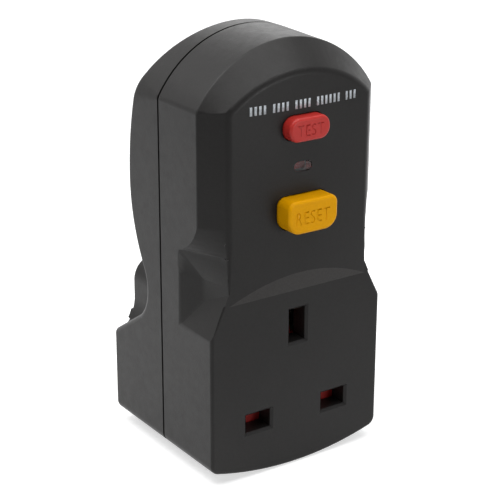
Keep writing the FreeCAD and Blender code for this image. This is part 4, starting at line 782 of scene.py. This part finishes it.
test_red = moulded("test_red", (0.42, 0.026, 0.021), 0.36, 2400.0, 0.15, 0.03, shine=0.25)
reset_amber = moulded("reset_amber", (0.68, 0.31, 0.0), 0.36, 2400.0, 0.15, 0.03, shine=0.08)
engraved("test_button", "test_cap", "TEST", -0.05, 70.85, 7.1, 2.7, test_red, "test_key")
engraved("reset_button", "reset_cap", "RESET", -0.27, 50.95, 9.45, 3.1, reset_amber,
         "reset_key")
reset_coil = wound("reset_coil", "reset_spring", along_y, 4, 0.35 * mm, spring_steel,
                   "housing")
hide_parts("reset_spring")
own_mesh(reset_coil)
test_strip = softened("test_leaf", "test_strip", spring_steel, 0.05 * mm, "housing")
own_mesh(test_strip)


# Indicator lens
# A clear moulded pill in the panel, through which the flag's colour shows. It is pushed in
# from behind and held by its flange.

clear, skin = finished("clear_polycarbonate", grain, Colour=(0.80, 0.82, 0.84, 1), Mottle=0.03,
                       Roughness=0.12, Spread=0.04, Fineness=900.0, Depth=0.1)
skin.inputs["Transmission Weight"].default_value = 1.0
skin.inputs["IOR"].default_value = 1.5
softened("indicator_lens", "window_lens", clear, 0.12 * mm, "housing")


# Front housing
# The other half of the case, of the same dark ABS, with a bowed control panel, the socket
# block under it and a finger hollow on each side. The rear shell's tongue fits its rim.

panel_half = 19.6
panel_front = -45.9
panel_low = 34
crown_start = 76
bow = 427.8
near, on_face = 0.06, 0.02


def off_panel(point):
    """How far a point lies off the panel's bowed face, in millimetres."""
    return abs(point.y - (panel_front + point.x * point.x / bow))


def rim_share(a, b):
    """How broadly the bowed panel turns over into its border at an edge, from 0 to 1."""
    if max(off_panel(a), off_panel(b)) > near or min(a.z, b.z) < panel_low:
        return 0.0
    if max(abs(abs(a.x) - panel_half), abs(abs(b.x) - panel_half)) < near:
        full_round_above = 12
        return min(1.0, max(0.2, ((a.z + b.z) / 2 - panel_low) / full_round_above))
    return 1.0 if min(a.z, b.z) > crown_start and abs(b.x - a.x) > 0.2 else 0.0


def fold_share(edge):
    """How broadly a fold between two wide faces of a finger hollow is rounded."""
    a, b = (point.co / mm for point in edge.verts)
    hollow_back, hollow_low, hollow_high = -30, 20, 50
    least_fold, least_run, least_width, share = math.radians(9), 2, 1.2, 0.6
    if len(edge.link_faces) != 2 or edge.calc_face_angle(0) < least_fold:
        return 0.0
    if min(abs(a.x), abs(b.x)) < panel_half + 0.1 or max(a.y, b.y) > hollow_back:
        return 0.0
    if min(a.z, b.z) < hollow_low or max(a.z, b.z) > hollow_high:
        return 0.0
    run = (b - a).length
    if run < least_run:
        return 0.0
    widths = [face.calc_area() / mm / mm / run for face in edge.link_faces]
    return share if min(widths) >= least_width else 0.0


def fill_corner(form, side):
    """Closes the small ledge where a hollow's slanting face passes over the socket block."""
    spots = [Vector((x * side, y, z)) * mm for x, y, z in (
        (-21.0, -45.0, 31.3), (-19.6, -45.0, 31.3), (-19.6, -45.0, 34.26), (-20.98, -43.42, 31.3))]
    found = [min(form.verts, key=lambda point: (point.co - spot).length) for spot in spots]
    outer, inner, upper, deep = found
    gone = [face for face in form.faces if set(face.verts) in ({outer, inner, deep},
                                                              {inner, upper, deep})]
    if len(gone) == 2:
        bmesh.ops.delete(form, geom=gone, context="FACES")
        form.faces.new((outer, inner, upper))
        form.faces.new((outer, upper, deep))
        bmesh.ops.recalc_face_normals(form, faces=form.faces)


front_mesh = merged("front_housing")
drawn_back(front_mesh, seam_front, -seam_widening)
shell = bmesh.new()
shell.from_mesh(front_mesh)
for side in (1, -1):
    fill_corner(shell, side)
weights = shell.edges.layers.float.new("bevel_weight_edge")
for edge in shell.edges:
    a, b = (point.co / mm for point in edge.verts)
    edge[weights] = max(rim_share(a, b), fold_share(edge))
shell.to_mesh(front_mesh)
shell.free()
blank = shown("front_blank", front_mesh)
broad = blank.modifiers.new("panel_round", "BEVEL")
broad.limit_method = "WEIGHT"
broad.width = 1.0 * mm
broad.segments = 5
broad.use_clamp_overlap = False
eased(blank, 0.3 * mm)
shell = plain_mesh(blank, "front_shell")
shading = [corner.vector.copy() for corner in shell.corner_normals]
for face in shell.polygons:
    points = [shell.vertices[i].co / mm for i in face.vertices]
    if max(off_panel(point) for point in points) < on_face:
        for loop, point in zip(face.loop_indices, points):
            shading[loop] = Vector((2 * point.x / bow, -1, 0)).normalized()
shell.normals_split_custom_set(shading)

# Painted light: the crescent under the panel is made paler, the more so the more it looks down, as
# painted light from below
crescent_low, crescent_high, crescent_front = 31.2, 37, -44.9
faces_front = -0.8
full_slope = 0.2
crescent_painted_light_gain = 2.7
painted_light_band = shell.attributes.new("crescent", "FLOAT", "FACE")
for face in shell.polygons:
    centre = face.center / mm
    if crescent_low < centre.z < crescent_high and abs(centre.x) < panel_half:
        if centre.y < crescent_front and face.normal.y < faces_front:
            painted_light_band.data[face.index].value = min(1.0, max(0.0, -face.normal.z / full_slope))
# The front shell's material is a copy of the dark ABS with that painted light multiplied into its
# colour on the crescent
front_plastic_painted_light = housing_plastic.copy()
front_plastic_painted_light.name = "dark_abs_front_painted_light"
tree = front_plastic_painted_light.node_tree
skin = tree.nodes["Principled BSDF"]
group = skin.inputs["Base Color"].links[0].from_node
painted_light_mask = put(tree, "ShaderNodeAttribute", (-300, 300), attribute_name="crescent")
painted_light_mix = put(tree, "ShaderNodeMixRGB", (-100, 200), blend_type="MULTIPLY",
            Color2=(crescent_painted_light_gain, crescent_painted_light_gain, crescent_painted_light_gain, 1))
wire_up(tree, (painted_light_mask, "Fac", painted_light_mix, 0), (group, "Colour", painted_light_mix, 1),
        (painted_light_mix, 0, skin, "Base Color"))
front_shell = link("front_shell", shell, front_plastic_painted_light, "housing")
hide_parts("front_housing")


# Printed row
# A row of small pale bars in five groups on the bowed panel, above the test button. It is
# pad-printed in one stroke with a matt pale ink.

pad_print = new_tree("row_of_bars", [
    ("Places", "NodeSocketInt", 25), ("Start", "NodeSocketFloat", -14.1 * mm),
    ("Pitch", "NodeSocketFloat", 1.2 * mm), ("Low", "NodeSocketFloat", 75.3 * mm),
    ("Tall", "NodeSocketFloat", 2 * mm), ("Wide", "NodeSocketFloat", 0.6 * mm),
    ("Thick", "NodeSocketFloat", 0.04 * mm), ("Front", "NodeSocketFloat", panel_front * mm),
    ("Bow", "NodeSocketFloat", bow * mm)])
inlet = put(pad_print, "NodeGroupInput", (-1400, 0))
first = put(pad_print, "ShaderNodeCombineXYZ", (-1100, 200))
onward = put(pad_print, "ShaderNodeCombineXYZ", (-1100, 0))
spots = put(pad_print, "GeometryNodeMeshLine", (-900, 100))
order = put(pad_print, "GeometryNodeInputIndex", (-1400, -500))
fifth = put(pad_print, "ShaderNodeMath", (-1200, -400), operation="MODULO")
fifth.inputs[1].default_value = 5.0
is_fourth = put(pad_print, "ShaderNodeMath", (-1000, -400), operation="GREATER_THAN")
is_fourth.inputs[1].default_value = 3.5
early = put(pad_print, "ShaderNodeMath", (-1200, -600), operation="LESS_THAN")
early.inputs[1].default_value = 15.5
space = put(pad_print, "ShaderNodeMath", (-800, -400), operation="MULTIPLY")
last_space = put(pad_print, "ShaderNodeMath", (-1000, -700), operation="COMPARE")
last_space.inputs[1].default_value = 21.0
last_space.inputs[2].default_value = 0.5
gap = put(pad_print, "ShaderNodeMath", (-600, -400), operation="ADD")
kept = put(pad_print, "GeometryNodeDeleteGeometry", (-600, 100))
half_up = put(pad_print, "ShaderNodeMath", (-1200, 400), operation="MULTIPLY_ADD")
half_up.inputs[1].default_value = 0.5
size = put(pad_print, "ShaderNodeCombineXYZ", (-600, -150))
bar = put(pad_print, "GeometryNodeMeshCube", (-400, -150))
bar.inputs["Vertices X"].default_value = 4
placed = put(pad_print, "GeometryNodeInstanceOnPoints", (-200, 0))
solid = put(pad_print, "GeometryNodeRealizeInstances", (0, 0))
spot = put(pad_print, "GeometryNodeInputPosition", (-200, -400))
split = put(pad_print, "ShaderNodeSeparateXYZ", (0, -400))
square = put(pad_print, "ShaderNodeMath", (200, -400), operation="MULTIPLY")
sag = put(pad_print, "ShaderNodeMath", (400, -400), operation="DIVIDE")
inward = put(pad_print, "ShaderNodeCombineXYZ", (500, -300))
laid = put(pad_print, "GeometryNodeSetPosition", (400, 0))
wire_up(pad_print, (inlet, "Start", first, "X"), (inlet, "Front", first, "Y"),
        (inlet, "Tall", half_up, 0), (inlet, "Low", half_up, 2), (half_up, 0, first, "Z"),
        (inlet, "Pitch", onward, "X"), (inlet, "Places", spots, "Count"),
        (first, 0, spots, "Start Location"), (onward, 0, spots, "Offset"), (order, 0, fifth, 0),
        (fifth, 0, is_fourth, 0), (order, 0, early, 0), (is_fourth, 0, space, 0),
        (early, 0, space, 1), (order, 0, last_space, 0), (space, 0, gap, 0),
        (last_space, 0, gap, 1), (spots, 0, kept, "Geometry"), (gap, 0, kept, "Selection"),
        (inlet, "Wide", size, "X"), (inlet, "Thick", size, "Y"), (inlet, "Tall", size, "Z"),
        (size, 0, bar, "Size"), (kept, 0, placed, "Points"), (bar, "Mesh", placed, "Instance"),
        (placed, 0, solid, 0), (spot, 0, split, 0), (split, "X", square, 0),
        (split, "X", square, 1), (square, 0, sag, 0), (inlet, "Bow", sag, 1),
        (sag, 0, inward, "Y"), (solid, 0, laid, "Geometry"), (inward, 0, laid, "Offset"))
close_tree(pad_print, inlet, laid)
print_ink = moulded("pale_ink", (0.42, 0.45, 0.48), 0.5, 3000.0, 0.3, 0.25)
bars = grown("printed_row", pad_print, print_ink)
link("printed_row", bars, print_ink, "housing")


# Housing screws
# Four zinc plated cross-recess screws, driven from the back through the rear shell's towers
# into the front shell's bosses.

softened("housing_screws", "case_screws", zinc, 0.1 * mm, "housing")
